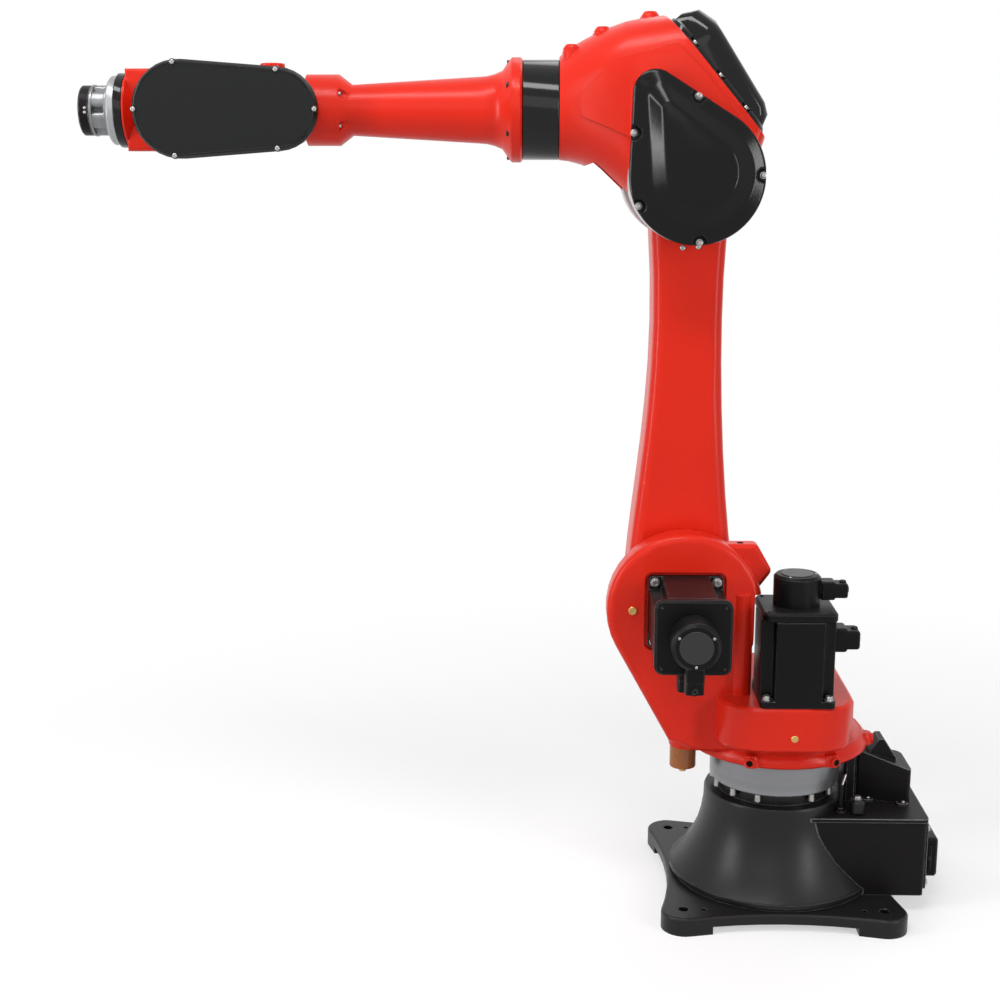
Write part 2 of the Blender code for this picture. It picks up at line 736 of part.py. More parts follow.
def build_turret():
    rim = circle(RIM_RADIUS, LARGE_STEPS)
    low = TURRET_LOW
    top = low + RIM_HEIGHT
    waist = low + RIM_HEIGHT / 2
    levels = [(low, RIM_EDGE), (low + RIM_EDGE, 0), (waist, 0), (top, RIM_TAPER)]
    casting = stack("turret_casting", plan(), rim, levels)
    for index in range(LUG_COUNT):
        angle = math.radians(LUG_START_DEG + 360.0 * index / LUG_COUNT)
        lug = (LUG_CIRCLE * math.cos(angle), LUG_CIRCLE * math.sin(angle))
        shape = circle(LUG_RADIUS, SMALL_STEPS, lug)
        levels = [(low + RIM_EDGE / 2, 0), (waist, 0), (top - RIM_EDGE, RIM_EDGE)]
        fuse(casting, stack("lug", plan(), shape, levels))

    deck = deck_outline(LARGE_STEPS)
    foot = circle(RIM_RADIUS - RIM_TAPER, LARGE_STEPS)
    rings = [[Vector((u, v, top - RIM_EDGE)) for u, v in foot]]
    for depth, inset in ((DECK_LOW, 0), (DECK_TOP - DECK_EDGE, 0), (DECK_TOP, DECK_EDGE)):
        rings.append([Vector((u, v, depth)) for u, v in inset_outline(deck, inset)])
    fuse(casting, loft("deck", rings))

    nose = rectangle(0.0, NOSE_FRONT, -NOSE_RIGHT, NOSE_LEFT, NOSE_CORNER)
    levels = [(NOSE_LOW, 0), (NOSE_TOP - RIM_EDGE, 0), (NOSE_TOP, RIM_EDGE)]
    fuse(casting, stack("nose", plan(), nose, levels))

    levels = rounded_levels(EAR_INNER, EAR_OUTER, EAR_EDGE)
    ear = stack("ear", side(), ear_outline(), levels)
    near = TURN_MOTOR_X + MOTOR_SIZE / 2 + TURN_MOTOR_SLACK
    room = [(near - MOTOR_SIZE, DECK_LOW), (near, DECK_LOW), (near, SHOULDER_BLOCK_LOW),
            (near - MOTOR_SIZE, SHOULDER_BLOCK_LOW)]
    cut(ear, stack("room", side(), room, [(0, 0), (EAR_OUTER + OVERRUN, 0)]))
    fuse(casting, ear)
    tail = EAR_BACK + EAR_RADIUS / 2
    root = SHOULDER_BLOCK_LOW - EAR_COLUMN_RADIUS
    corners = [(EAR_BACK, root), (tail, min(root, SHOULDER_HEIGHT)),
               (tail, SHOULDER_BLOCK_TOP - EAR_COLUMN_RADIUS), (tail - EAR_COLUMN_RADIUS, SHOULDER_BLOCK_TOP),
               (SHOULDER_BLOCK_EDGE_X, SHOULDER_BLOCK_TOP), (SHOULDER_BLOCK_TIP_X, SHOULDER_BLOCK_TIP_Z),
               (SHOULDER_BLOCK_EDGE_X, SHOULDER_BLOCK_LOW)]
    radii = [0, 0, 0, 0, EAR_EDGE, EAR_EDGE, EAR_EDGE]
    levels = rounded_levels(EAR_INNER, SHOULDER_BLOCK_OUTER, EAR_EDGE / 2, 1)
    fuse(casting, stack("block", side(), rounded(corners, radii), levels))
    column = circle(EAR_COLUMN_RADIUS, SMALL_STEPS, (EAR_BACK + EAR_COLUMN_RADIUS / 2, EAR_COLUMN_Y))
    fuse(casting, stack("column", plan(), column, [(DECK_LOW, 0), (EAR_COLUMN_TOP, 0)]))

    half = SEAT_SIZE / 2
    pocket = rectangle(-half, half, -half, half, SEAT_CORNER)
    seat = side(SHOULDER_REACH, EAR_OUTER, SHOULDER_HEIGHT)
    cut(casting, stack("pocket", seat, pocket, [(-SEAT_DEPTH, 0), (OVERRUN, 0)]))
    notch = circle(BUMPER_RADIUS + BUMPER_SLACK, MEDIUM_STEPS, (BUMPER_X, 0.0))
    cut(casting, stack("notch", plan(), notch, [(low - OVERRUN, 0), (NOSE_LOW, 0)]))
    finish(casting, "turret", RED_PAINT)

    under = plan(BUMPER_X, 0.0, NOSE_LOW - GAP)
    shape = circle(BUMPER_RADIUS, MEDIUM_STEPS)
    levels = rounded_levels(-BUMPER_LENGTH, 0.0, BUMPER_EDGE, 2)
    finish(stack("turn_bumper", under, shape, levels), "turret", AMBER_RUBBER)
    shape = circle(BUMPER_BOLT_RADIUS, 6)
    low = -BUMPER_LENGTH - GAP
    tip = stack("turn_bumper_bolt", under, shape, [(low - BUMPER_BOLT_LENGTH, 0), (low, 0)])
    finish(tip, "turret", BRASS)


def build_motor(name, body, plane):
    """A servo motor whose flange lies in the plane, with its plugs on the up side."""
    half = MOTOR_SIZE / 2
    square = rectangle(-half, half, -half, half, MOTOR_CORNER)
    flange = stack(name + "_motor", plane, square, [(0, 0), (MOTOR_FLANGE, 0)])
    inner = half - MOTOR_NOTCH
    quarter = [(half, inner), (inner, inner), (inner, half)]
    corners = []
    for turn in range(4):
        for u, v in quarter:
            for _ in range(turn):
                u, v = -v, u
            corners.append((u, v))
    start = corners.index((half, inner))
    corners = corners[start:] + corners[:start]
    trim = MOTOR_CORNER / 2
    shell = rounded(corners, [trim, MOTOR_CORNER, trim] * 4, 2)
    high = MOTOR_FLANGE + MOTOR_BODY
    fuse(flange, stack("shell", plane, shell, [(MOTOR_FLANGE / 2, 0), (high, 0)]))
    cap = rectangle(-half, half, -half, half, 2 * MOTOR_CORNER)
    levels = rounded_levels(high - GAP, high + MOTOR_CAP, MOTOR_CAP_INSET, 1)
    fuse(flange, stack("cap", plane, cap, levels))
    finish(flange, body, BLACK_PLASTIC)

    high += MOTOR_CAP
    end = high + ENCODER_LENGTH
    levels = [(high + GAP, 0), (end - ENCODER_EDGE, 0), (end, ENCODER_EDGE)]
    encoder = stack(name + "_encoder", plane, circle(ENCODER_RADIUS, MEDIUM_STEPS), levels)
    finish(encoder, body, BLACK_PLASTIC)
    middle = high + ENCODER_LENGTH / 2
    build_plug(name + "_signal_plug", body, plane, ENCODER_RADIUS, middle, SIGNAL_PLUG_SHARE)
    build_plug(name + "_power_plug", body, plane, half, POWER_PLUG_PLACE, 1)


def build_plug(name, body, plane, reach, depth, share):
    """A socket and plug that stand out of a motor's side."""
    width = PLUG_WIDTH * share / 2
    foot = PLUG_FOOT_HEIGHT * share / 2
    head = PLUG_HEAD_HEIGHT * share / 2
    inner = reach + GAP
    knee = inner + PLUG_FOOT_LENGTH
    tip = knee + PLUG_HEAD_LENGTH
    corners = [(inner, depth - foot), (knee, depth - foot), (knee, depth - head), (tip, depth - head),
               (tip, depth + head), (knee, depth + head), (knee, depth + foot), (inner, depth + foot)]
    trim = PLUG_CORNER * share
    radii = [0, trim, 0, trim, trim, 0, trim, 0]
    across = Plane(plane.origin, plane.up, plane.out, plane.across)
    plug = stack(name, across, rounded(corners, radii, 2), rounded_levels(-width, width, trim / 2, 1))
    if reach == ENCODER_RADIUS:
        levels = [(depth - foot - OVERRUN, 0), (depth + foot + OVERRUN, 0)]
        cut(plug, stack("encoder", plane, circle(ENCODER_RADIUS + GAP, MEDIUM_STEPS), levels))
    return finish(plug, body, BLACK_PLASTIC)


def build_motors():
    upright = Plane(Vector((TURN_MOTOR_X, TURN_MOTOR_Y, DECK_TOP + GAP)),
                    Vector((0, -1, 0)), Vector((-1, 0, 0)), Vector((0, 0, 1)))
    build_motor("turn", "turret", upright)
    lying = Plane(Vector((SHOULDER_REACH, EAR_OUTER - SEAT_DEPTH + GAP, SHOULDER_HEIGHT)),
                  Vector((1, 0, 0)), Vector((0, 0, -1)), Vector((0, 1, 0)))
    build_motor("shoulder", "turret", lying)


def arm_outline():
    """Round foot and head joined by a hollow front edge and a flatter back edge."""
    x = SHOULDER_REACH
    low = SHOULDER_HEIGHT
    high = ELBOW_HEIGHT
    rise = high - low
    points = bezier((x + ARM_FOOT_RADIUS, low),
                    (x + ARM_FRONT_LOW, low + rise * ARM_FRONT_LOW_SHARE),
                    (x + ARM_FRONT_HIGH, low + rise * ARM_FRONT_HIGH_SHARE),
                    (x + ARM_HEAD_RADIUS, high), ARM_CURVE_STEPS)
    points += arc(ELBOW, ARM_HEAD_RADIUS, 0.0, 180.0, 16)[1:]
    points += bezier((x - ARM_HEAD_RADIUS, high),
                     (x - ARM_BACK_HIGH, low + rise * ARM_BACK_HIGH_SHARE),
                     (x - ARM_BACK_LOW, low + rise * ARM_BACK_LOW_SHARE),
                     (x - ARM_FOOT_RADIUS, low), ARM_CURVE_STEPS)[1:]
    points += arc(SHOULDER, ARM_FOOT_RADIUS, 180.0, 360.0, 20)[1:-1]
    return points


def build_lower_arm():
    levels = rounded_levels(-ARM_HALF_WIDTH, ARM_HALF_WIDTH, ARM_EDGE)
    arm = stack("lower_arm", side(), arm_outline(), levels)
    finish(arm, "lower_arm", RED_PAINT)

    seat = ARM_HALF_WIDTH + GAP
    face = EAR_INNER - GAP
    shoulder = side(SHOULDER_REACH, 0.0, SHOULDER_HEIGHT)
    disc = circle(SHOULDER_DISC_RADIUS, MEDIUM_STEPS)
    disc = stack("shoulder_gear_disc", shoulder, inset_outline(disc, ARM_EDGE / 2), [(seat, 0), (face, 0)])
    finish(disc, "lower_arm", BARE_STEEL)
    levels = [(-seat - HUB_CAP_DEPTH, HUB_CAP_EDGE), (-seat - HUB_CAP_DEPTH + HUB_CAP_EDGE, 0), (-seat, 0)]
    cap = stack("shoulder_hub_cap", shoulder, circle(HUB_CAP_RADIUS, MEDIUM_STEPS), levels)
    finish(cap, "lower_arm", RED_PAINT)

    elbow = side(SHOULDER_REACH, 0.0, ELBOW_HEIGHT)
    slot = ARM_HALF_WIDTH + SWING_GAP - GAP
    radius = ELBOW_DISC_RADIUS - ARM_EDGE / 2
    disc = stack("elbow_gear_disc", elbow, circle(radius, MEDIUM_STEPS), [(seat, 0), (slot, 0)])
    finish(disc, "lower_arm", BARE_STEEL)
    disc = stack("elbow_bearing_disc", elbow, circle(radius, MEDIUM_STEPS), [(-slot, 0), (-seat, 0)])
    finish(disc, "lower_arm", BARE_STEEL)


def section(x, low, high, half_width, power):
    """A superellipse across the housing; power 2 is round and higher is boxier."""
    ring = []
    middle = (low + high) / 2
    for index in range(SECTION_STEPS):
        angle = 2 * math.pi * index / SECTION_STEPS
        cosine = math.cos(angle)
        sine = math.sin(angle)
        y = half_width * math.copysign(abs(cosine) ** (2 / power), cosine)
        z = middle + (high - low) / 2 * math.copysign(abs(sine) ** (2 / power), sine)
        ring.append(Vector((x, y, z)))
    return ring


def slope_plane():
    """The sloping rear face: across is +Y, up climbs the slope, out is away from it."""
    foot = Vector((SHOULDER_REACH - SLOPE_FOOT_X, 0, ELBOW_HEIGHT + SLOPE_FOOT_Z))
    top = Vector((SHOULDER_REACH + SLOPE_TOP_X, 0, ELBOW_HEIGHT + SLOPE_TOP_Z))
    up = (top - foot).normalized()
    out = Vector((-up.z, 0, up.x))
    return Plane(foot, Vector((0, 1, 0)), up, out)


# Housing sections as shares: place along the housing, floor, roof and half width,
# with the superellipse's power
HOUSING_SHARES = (
    (1.000, 0.00, 0.06, 1.000, 2.0),
    (0.930, 0.03, 0.22, 1.060, 2.1),
    (0.825, 0.14, 0.38, 1.200, 2.4),
    (0.670, 0.46, 0.58, 1.420, 2.8),
    (0.510, 0.96, 0.72, 1.600, 3.3),
    (0.340, 1.60, 0.80, 1.700, 3.8),
    (0.100, 1.60, 0.84, 1.730, 4.2),
    (-0.200, 1.00, 0.86, 1.730, 4.2),
    (-0.400, 0.80, 0.86, 1.730, 4.2),
    (-0.500, -0.40, 0.86, 1.730, 4.2),
)

# Rear cover's dome as shares: place along the cover, height and half width
REAR_DOME_SHARES = (
    (0.03, 0.20, 0.62),
    (0.08, 0.55, 0.76),
    (0.16, 0.68, 0.84),
    (0.72, 0.96, 0.86),
    (0.80, 1.00, 0.80),
    (0.93, 0.86, 0.70),
    (0.985, 0.44, 0.60),
)
REAR_DOME_CORNER_SHARE = 0.42


def housing_rings(extra):
    """The housing's sections, widened by extra."""
    rings = []
    ring = NECK_RING_RADIUS
    for place, floor, roof, width, power in HOUSING_SHARES:
        x = SHOULDER_REACH + HOUSING_FRONT * place
        low = ROLL_HEIGHT - ring - floor * (ring - ROLL_OFFSET / 4)
        high = ROLL_HEIGHT + ring + roof * ring
        rings.append(section(x, low, high, ring * width + extra, power))
    return rings


def build_elbow():
    ring = NECK_RING_RADIUS
    housing = loft("elbow_housing", housing_rings(0.0))
    elbow = side(SHOULDER_REACH, 0.0, ELBOW_HEIGHT)
    levels = rounded_levels(-HUB_HALF_WIDTH, HUB_HALF_WIDTH, COVER_EDGE, 1)
    fuse(housing, stack("hub", elbow, circle(HUB_RADIUS, LARGE_STEPS), levels))
    seat = belt_outline(ELBOW, HUB_RADIUS, PULLEY, PULLEY_COVER_RADIUS, LARGE_STEPS)
    fuse(housing, stack("seat", side(), seat, [(0, 0), (HUB_HALF_WIDTH - GAP, 0)]))

    for place, height in BOSS_PLACE_SHARES:
        for y in (-BOSS_Y, BOSS_Y):
            foot = plan(SHOULDER_REACH + HOUSING_FRONT * place, y, ROLL_HEIGHT)
            top = ring * (1 + height)
            levels = [(0, -BOSS_FLARE), (top - BOSS_FLARE_DEPTH, -BOSS_FLARE),
                      (top - COVER_EDGE / 2, 0), (top, COVER_EDGE / 2)]
            fuse(housing, stack("boss", foot, circle(BOSS_RADIUS, SMALL_STEPS), levels))

    panel = loft("panel", housing_rings(PANEL_RISE))
    corners = [(ELBOW[0] + x, ELBOW[1] + z) for x, z in PANEL_POINTS]
    outline = rounded(corners, [PANEL_CORNER] * len(corners))
    levels = [(-HUB_HALF_WIDTH, 0), (HUB_HALF_WIDTH, 0)]
    combine(panel, [stack("outline", side(), outline, levels)], "INTERSECT")
    fuse(housing, panel)

    slope = slope_plane()
    far = HUB_HALF_WIDTH + OVERRUN
    block = rectangle(-far, far, -HUB_RADIUS, SLOPE_TOP_Z + HUB_RADIUS, BOX_CORNER)
    cut(housing, stack("slope", slope, block, [(0, 0), (HUB_HALF_WIDTH, 0)]))
    back = 90.0 + (90.0 - ARM_UP_DEG)
    ahead = 90.0 - (90.0 - ARM_DOWN_DEG)
    reach = 2 * HOUSING_FRONT
    crown = arc((0.0, 0.0), SLOT_RADIUS, ahead, back, 6)
    slant = math.radians(ahead - 90.0)
    right = (crown[0][0] + reach * math.cos(slant), crown[0][1] + reach * math.sin(slant))
    slant = math.radians(back + 90.0)
    left = (crown[-1][0] + reach * math.cos(slant), crown[-1][1] + reach * math.sin(slant))
    outline = [(left[0], -reach), (right[0], -reach), right] + crown + [left]
    half = ARM_HALF_WIDTH + SWING_GAP
    cut(housing, stack("slot", elbow, outline, [(-half, 0), (half, 0)]))
    finish(housing, "elbow", RED_PAINT)

    outline = belt_outline(ELBOW, HUB_RADIUS, PULLEY, PULLEY_COVER_RADIUS, LARGE_STEPS)
    low = HUB_HALF_WIDTH + GAP
    mid = low + COVER_SEAT
    band = mid + COVER_BAND_RISE
    levels = [(low, 0), (mid - COVER_EDGE, 0), (mid, COVER_EDGE), (band, COVER_BAND)]
    cover = stack("elbow_belt_cover", side(), outline, levels)
    inner = belt_outline(ELBOW, COVER_WALL_RADIUS, PULLEY, COVER_WALL_TIP_RADIUS, LARGE_STEPS)
    top = mid + COVER_RISE
    lean = COVER_WALL_LEAN
    levels = [(mid, 0), (band, 0), (top - 2 * lean, lean), (top, 3 * lean)]
    fuse(cover, stack("plateau", side(), inner, levels))
    inset = COVER_SCALLOP_INSET
    rim = belt_outline(ELBOW, HUB_RADIUS - inset, PULLEY, PULLEY_COVER_RADIUS - inset, LARGE_STEPS)
    for share in COVER_SCREW_SHARES:
        scallop = circle(COVER_SCALLOP_RADIUS, SMALL_STEPS, along(rim, share))
        levels = [(mid - 2 * COVER_EDGE, 0), (band + OVERRUN, 0)]
        cut(cover, stack("scallop", side(), scallop, levels))
    finish(cover, "elbow", BLACK_GLOSS)

    levels = [(-low - ELBOW_CAP_DEPTH, COVER_EDGE), (COVER_EDGE - low - ELBOW_CAP_DEPTH, 0), (-low, 0)]
    cap = stack("elbow_side_cap", elbow, circle(ELBOW_CAP_RADIUS, LARGE_STEPS), levels)
    finish(cap, "elbow", BLACK_GLOSS)

    half = REAR_COVER_HALF_WIDTH
    low = REAR_COVER_START
    outline = rectangle(-half, half, low, low + REAR_COVER_LENGTH, REAR_COVER_CORNER)
    levels = [(GAP, 0), (COVER_SEAT - COVER_EDGE, 0), (COVER_SEAT, COVER_EDGE)]
    cover = stack("rear_cover", slope, outline, levels)
    rings = []
    for place, height, width in REAR_DOME_SHARES:
        v = low + REAR_COVER_LENGTH * place
        top = REAR_COVER_HEIGHT * height
        corner = top * REAR_DOME_CORNER_SHARE
        flank = half * width
        foot = COVER_SEAT / 2
        corners = [(-flank, foot), (flank, foot), (flank, top), (-flank, top)]
        rings.append([slope.place(u, v, w) for u, w in rounded(corners, [0, 0, corner, corner])])
    fuse(cover, loft("dome", rings))
    for share in REAR_SCREW_SHARES:
        for flank in (-half + REAR_SCALLOP_INSET, half - REAR_SCALLOP_INSET):
            scallop = circle(COVER_SCALLOP_RADIUS, SMALL_STEPS, (flank, low + REAR_COVER_LENGTH * share))
            cut(cover, stack("scallop", slope, scallop, [(COVER_SEAT / 2, 0), (2 * COVER_SEAT, 0)]))
    finish(cover, "elbow", BLACK_GLOSS)

    ring = front(ROLL_RING_BACK + GAP, 0.0, ROLL_HEIGHT)
    levels = rounded_levels(0.0, ROLL_RING_LENGTH, HAND_EDGE, 1)
    shape = circle(NECK_RING_RADIUS, LARGE_STEPS)
    finish(stack("roll_ring", ring, shape, levels), "elbow", BLACK_GLOSS)


def build_forearm():
    axis = front(FOREARM_BACK, 0.0, ROLL_HEIGHT)
    edge = COVER_EDGE
    wide = FOREARM_FLANGE_RADIUS
    profile = [(wide - edge, 0), (wide, edge), (wide, FOREARM_FLANGE_LENGTH - edge),
               (wide - edge, FOREARM_FLANGE_LENGTH)]
    run = FOREARM_ROOT - FOREARM_FLANGE_LENGTH
    for step in range(1, 5):
        t = step / 4
        radius = FOREARM_ROOT_RADIUS + (wide - 4 * edge - FOREARM_ROOT_RADIUS) * (1 - t) ** 2
        profile.append((radius, FOREARM_FLANGE_LENGTH + run * t))
    profile.append((FOREARM_WAIST_RADIUS, FOREARM_WAIST))
    end = FOREARM_END_FLANGE_RADIUS
    profile.append((end, FOREARM_END_FLANGE))
    root = WRIST_X - FORK_ROOT - FOREARM_BACK
    profile.append((end, root + OVERRUN))
    tube = turned("forearm", axis, profile, LARGE_STEPS)
    for index in range(TUBE_POCKET_COUNT):
        angle = 2 * math.pi * (index + 0.5) / TUBE_POCKET_COUNT
        spot = (TUBE_POCKET_CIRCLE * math.cos(angle), TUBE_POCKET_CIRCLE * math.sin(angle))
        pocket = circle(TUBE_POCKET_RADIUS, SMALL_STEPS, spot)
        levels = [(FOREARM_WAIST - OVERRUN, 0), (FOREARM_END_FLANGE - TUBE_POCKET_DEPTH, 0)]
        cut(tube, stack("pocket", axis, pocket, levels))

    tail = (WRIST_X - FORK_ROOT + FORK_BACK_RADIUS, ROLL_HEIGHT)
    outline = belt_outline(WRIST, FORK_RADIUS, tail, FORK_BACK_RADIUS, LARGE_STEPS)
    levels = rounded_levels(-FORK_HALF_WIDTH, FORK_HALF_WIDTH, FORK_EDGE)
    fuse(tube, stack("fork", side(), outline, levels))
    boss = plan(WRIST_X - FORK_BOSS_X, 0.0, ROLL_HEIGHT)
    levels = [(0, 0), (FORK_BOSS_TOP - edge / 2, 0), (FORK_BOSS_TOP, edge / 2)]
    fuse(tube, stack("boss", boss, circle(FORK_BOSS_RADIUS, SMALL_STEPS), levels))
    wrist = side(WRIST_X, 0.0, ROLL_HEIGHT)
    tall = FORK_RADIUS + OVERRUN
    slack = FORK_FLOOR + FORK_FLOOR_SLANT * tall / FORK_RADIUS
    outline = [(-slack, -tall), (tall, -tall), (tall, tall), (-slack, tall), (-FORK_FLOOR, 0)]
    cut(tube, stack("slot", wrist, outline, [(-FORK_SLOT_HALF, 0), (FORK_SLOT_HALF, 0)]))
    finish(tube, "forearm", RED_PAINT)

    outline = belt_outline(WRIST, WRIST_COVER_RADIUS, FORK_TAIL, WRIST_COVER_BACK_RADIUS, LARGE_STEPS)
    low = FORK_HALF_WIDTH + GAP
    top = low + WRIST_COVER_DEPTH
    levels = [(low, 0), (low + WRIST_COVER_DEPTH / 2, 0), (top, WRIST_COVER_BAND)]
    finish(stack("wrist_belt_cover", side(), outline, levels), "forearm", BLACK_GLOSS)
    outline = belt_outline(WRIST, WRIST_CAP_RADIUS, FORK_TAIL, WRIST_CAP_RADIUS - edge, LARGE_STEPS)
    levels = [(-low - WRIST_CAP_DEPTH, edge), (edge - low - WRIST_CAP_DEPTH, 0), (-low, 0)]
    finish(stack("wrist_side_cap", side(), outline, levels), "forearm", BLACK_GLOSS)


def build_wrist():
    wrist = side(WRIST_X, 0.0, ROLL_HEIGHT)
    outline = arc((0.0, 0.0), WRIST_RADIUS, 90.0, 270.0, 20)
    outline += [(WRIST_FRONT, -WRIST_RADIUS), (WRIST_FRONT, WRIST_RADIUS)]
    levels = rounded_levels(-WRIST_HALF_WIDTH, WRIST_HALF_WIDTH, WRIST_EDGE)
    block = stack("wrist_block", wrist, outline, levels)
    pin = FORK_SLOT_HALF - GAP
    fuse(block, stack("pin", wrist, circle(WRIST_PIN_RADIUS, MEDIUM_STEPS), [(-pin, 0), (pin, 0)]))
    axis = front(WRIST_X, 0.0, ROLL_HEIGHT)
    profile = [(WRIST_CONE_RADIUS, WRIST_FRONT - WRIST_CONE_LENGTH),
               (SEAL_RADIUS, WRIST_FRONT - WRIST_EDGE / 4),
               (SEAL_RADIUS, WRIST_FRONT + WRIST_EDGE / 4)]
    fuse(block, turned("cone", axis, profile, MEDIUM_STEPS))
    finish(block, "wrist", RED_PAINT)

    low = WRIST_FRONT + WRIST_EDGE / 4 + GAP
    levels = rounded_levels(low, low + SEAL_LENGTH, HAND_EDGE, 1)
    finish(stack("wrist_seal", axis, circle(SEAL_RADIUS, MEDIUM_STEPS), levels), "wrist", BLACK_GLOSS)
    low += SEAL_LENGTH + GAP
    high = low + COLLAR_LENGTH
    levels = [(low, 0), (high - COLLAR_EDGE, 0), (high, COLLAR_EDGE)]
    finish(stack("wrist_collar", axis, circle(COLLAR_RADIUS, MEDIUM_STEPS), levels), "wrist", PALE_ALLOY)
    low = high + GAP
    high = FLANGE_REACH - TOOL_LENGTH - RUNNING_GAP
    levels = rounded_levels(low, high, HAND_EDGE, 1)
    finish(stack("hand_gear", axis, circle(HAND_RADIUS, MEDIUM_STEPS), levels), "wrist", BARE_STEEL)

    low = high + RUNNING_GAP
    levels = [(low, 0), (FLANGE_REACH - TOOL_EDGE, 0), (FLANGE_REACH, TOOL_EDGE)]
    flange = stack("tool_flange", axis, circle(TOOL_RADIUS, MEDIUM_STEPS), levels)
    levels = [(FLANGE_REACH - TOOL_RECESS_DEPTH, 0), (FLANGE_REACH + OVERRUN, 0)]
    cut(flange, stack("recess", axis, circle(TOOL_RECESS_RADIUS, MEDIUM_STEPS), levels))
    for index in range(TOOL_HOLE_COUNT):
        angle = 2 * math.pi * (index + 0.5) / TOOL_HOLE_COUNT
        hole = (TOOL_HOLE_CIRCLE * math.cos(angle), TOOL_HOLE_CIRCLE * math.sin(angle))
        levels = [(FLANGE_REACH - TOOL_HOLE_DEPTH, 0), (FLANGE_REACH + OVERRUN, 0)]
        cut(flange, stack("hole", axis, circle(TOOL_HOLE_RADIUS, SMALL_STEPS, hole), levels))
    finish(flange, "tool", BLACK_PAINT)


def main():
    for thing in list(bpy.data.objects):
        bpy.data.objects.remove(thing)
    build_pivots()
    build_base()
    build_connector_box()
    build_turret()
    build_motors()
    build_lower_arm()
    build_elbow()
    build_forearm()
    build_wrist()


main()
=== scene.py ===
"""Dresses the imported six-axis robot arm: finishes, fasteners, fittings, camera and studio.

Row frame, in metres: the origin is on the floor on the turret's turning axis, +Z is up, +X is
the way the forearm points and +Y is the arm's left, where the two large servo motors are.
"""

import json
import logging
import math
from collections.abc import Sequence
from dataclasses import dataclass
from enum import Enum

import bmesh
import bpy
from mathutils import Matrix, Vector

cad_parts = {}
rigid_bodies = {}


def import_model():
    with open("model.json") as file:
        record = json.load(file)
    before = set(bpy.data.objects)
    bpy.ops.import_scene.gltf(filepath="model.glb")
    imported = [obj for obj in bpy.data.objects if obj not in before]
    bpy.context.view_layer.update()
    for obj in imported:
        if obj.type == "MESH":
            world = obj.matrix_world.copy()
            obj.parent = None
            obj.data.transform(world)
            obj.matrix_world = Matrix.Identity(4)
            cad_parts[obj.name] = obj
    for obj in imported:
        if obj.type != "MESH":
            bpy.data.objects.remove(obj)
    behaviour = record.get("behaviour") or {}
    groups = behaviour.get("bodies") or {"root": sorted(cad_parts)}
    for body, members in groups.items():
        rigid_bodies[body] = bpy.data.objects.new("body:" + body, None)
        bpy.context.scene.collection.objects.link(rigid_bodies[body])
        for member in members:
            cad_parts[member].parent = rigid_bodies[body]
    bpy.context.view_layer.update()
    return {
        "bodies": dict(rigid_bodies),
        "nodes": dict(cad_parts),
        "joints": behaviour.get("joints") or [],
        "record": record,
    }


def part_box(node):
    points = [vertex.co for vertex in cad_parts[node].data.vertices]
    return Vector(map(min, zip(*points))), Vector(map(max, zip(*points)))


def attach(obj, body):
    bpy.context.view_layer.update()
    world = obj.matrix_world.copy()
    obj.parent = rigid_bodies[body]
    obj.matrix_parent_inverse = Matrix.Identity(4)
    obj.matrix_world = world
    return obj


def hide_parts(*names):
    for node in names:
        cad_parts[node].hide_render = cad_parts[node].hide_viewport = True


LOG = logging.getLogger("robot_arm")

Colour = tuple[float, float, float]
Outline = Sequence[tuple[float, float]]

X_AXIS = Vector((1, 0, 0))
Y_AXIS = Vector((0, 1, 0))
Z_AXIS = Vector((0, 0, 1))

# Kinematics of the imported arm
SHOULDER = Vector((0.155, 0, 0.479))
ELBOW = Vector((0.155, 0, 1.105))
WRIST = Vector((0.879, 0, 1.197))


class Rim(Enum):
    """How a ring of a turned profile runs round."""

    ROUND = "round"
    HEXAGON = "hexagon"


class Screw(Enum):
    """Head of a screw, as rings of (radius share, height share, rim)."""

    SOCKET = (
        (1.0, 0.0, Rim.ROUND), (1.0, 0.85, Rim.ROUND), (0.88, 1.0, Rim.ROUND),
        (0.56, 1.0, Rim.HEXAGON), (0.56, 0.40, Rim.HEXAGON))
    HEX = (
        (1.3, 0.0, Rim.ROUND), (1.3, 0.16, Rim.ROUND), (1.0, 0.18, Rim.HEXAGON),
        (1.0, 0.80, Rim.HEXAGON), (0.82, 0.95, Rim.ROUND))
    BUTTON = (
        (1.0, 0.0, Rim.ROUND), (0.96, 0.24, Rim.ROUND), (0.80, 0.44, Rim.ROUND),
        (0.60, 0.54, Rim.ROUND), (0.44, 0.56, Rim.HEXAGON), (0.44, 0.24, Rim.HEXAGON))
    PLUG = (
        (1.0, 0.0, Rim.ROUND), (1.0, 0.20, Rim.ROUND), (0.90, 0.30, Rim.ROUND),
        (0.55, 0.30, Rim.HEXAGON), (0.55, 0.05, Rim.HEXAGON))


@dataclass(frozen=True)
class Place:
    """Where a fitting sits and which way it faces."""

    origin: Vector
    out: Vector

    @property
    def across(self) -> Vector:
        """A level direction in the plane that the fitting stands on."""
        guide = X_AXIS if abs(self.out.z) > 0.9 else Z_AXIS
        return guide.cross(self.out).normalized()

    @property
    def up(self) -> Vector:
        """The other direction in that plane."""
        return self.out.cross(self.across)

    def point(self, u: float, v: float, depth: float) -> Vector:
        """The point at u across, v up and depth outwards."""
        return self.origin + self.across * u + self.up * v + self.out * depth

    def moved(self, u: float, v: float, depth: float) -> "Place":
        """A place that faces the same way, at another point."""
        return Place(self.point(u, v, depth), self.out)


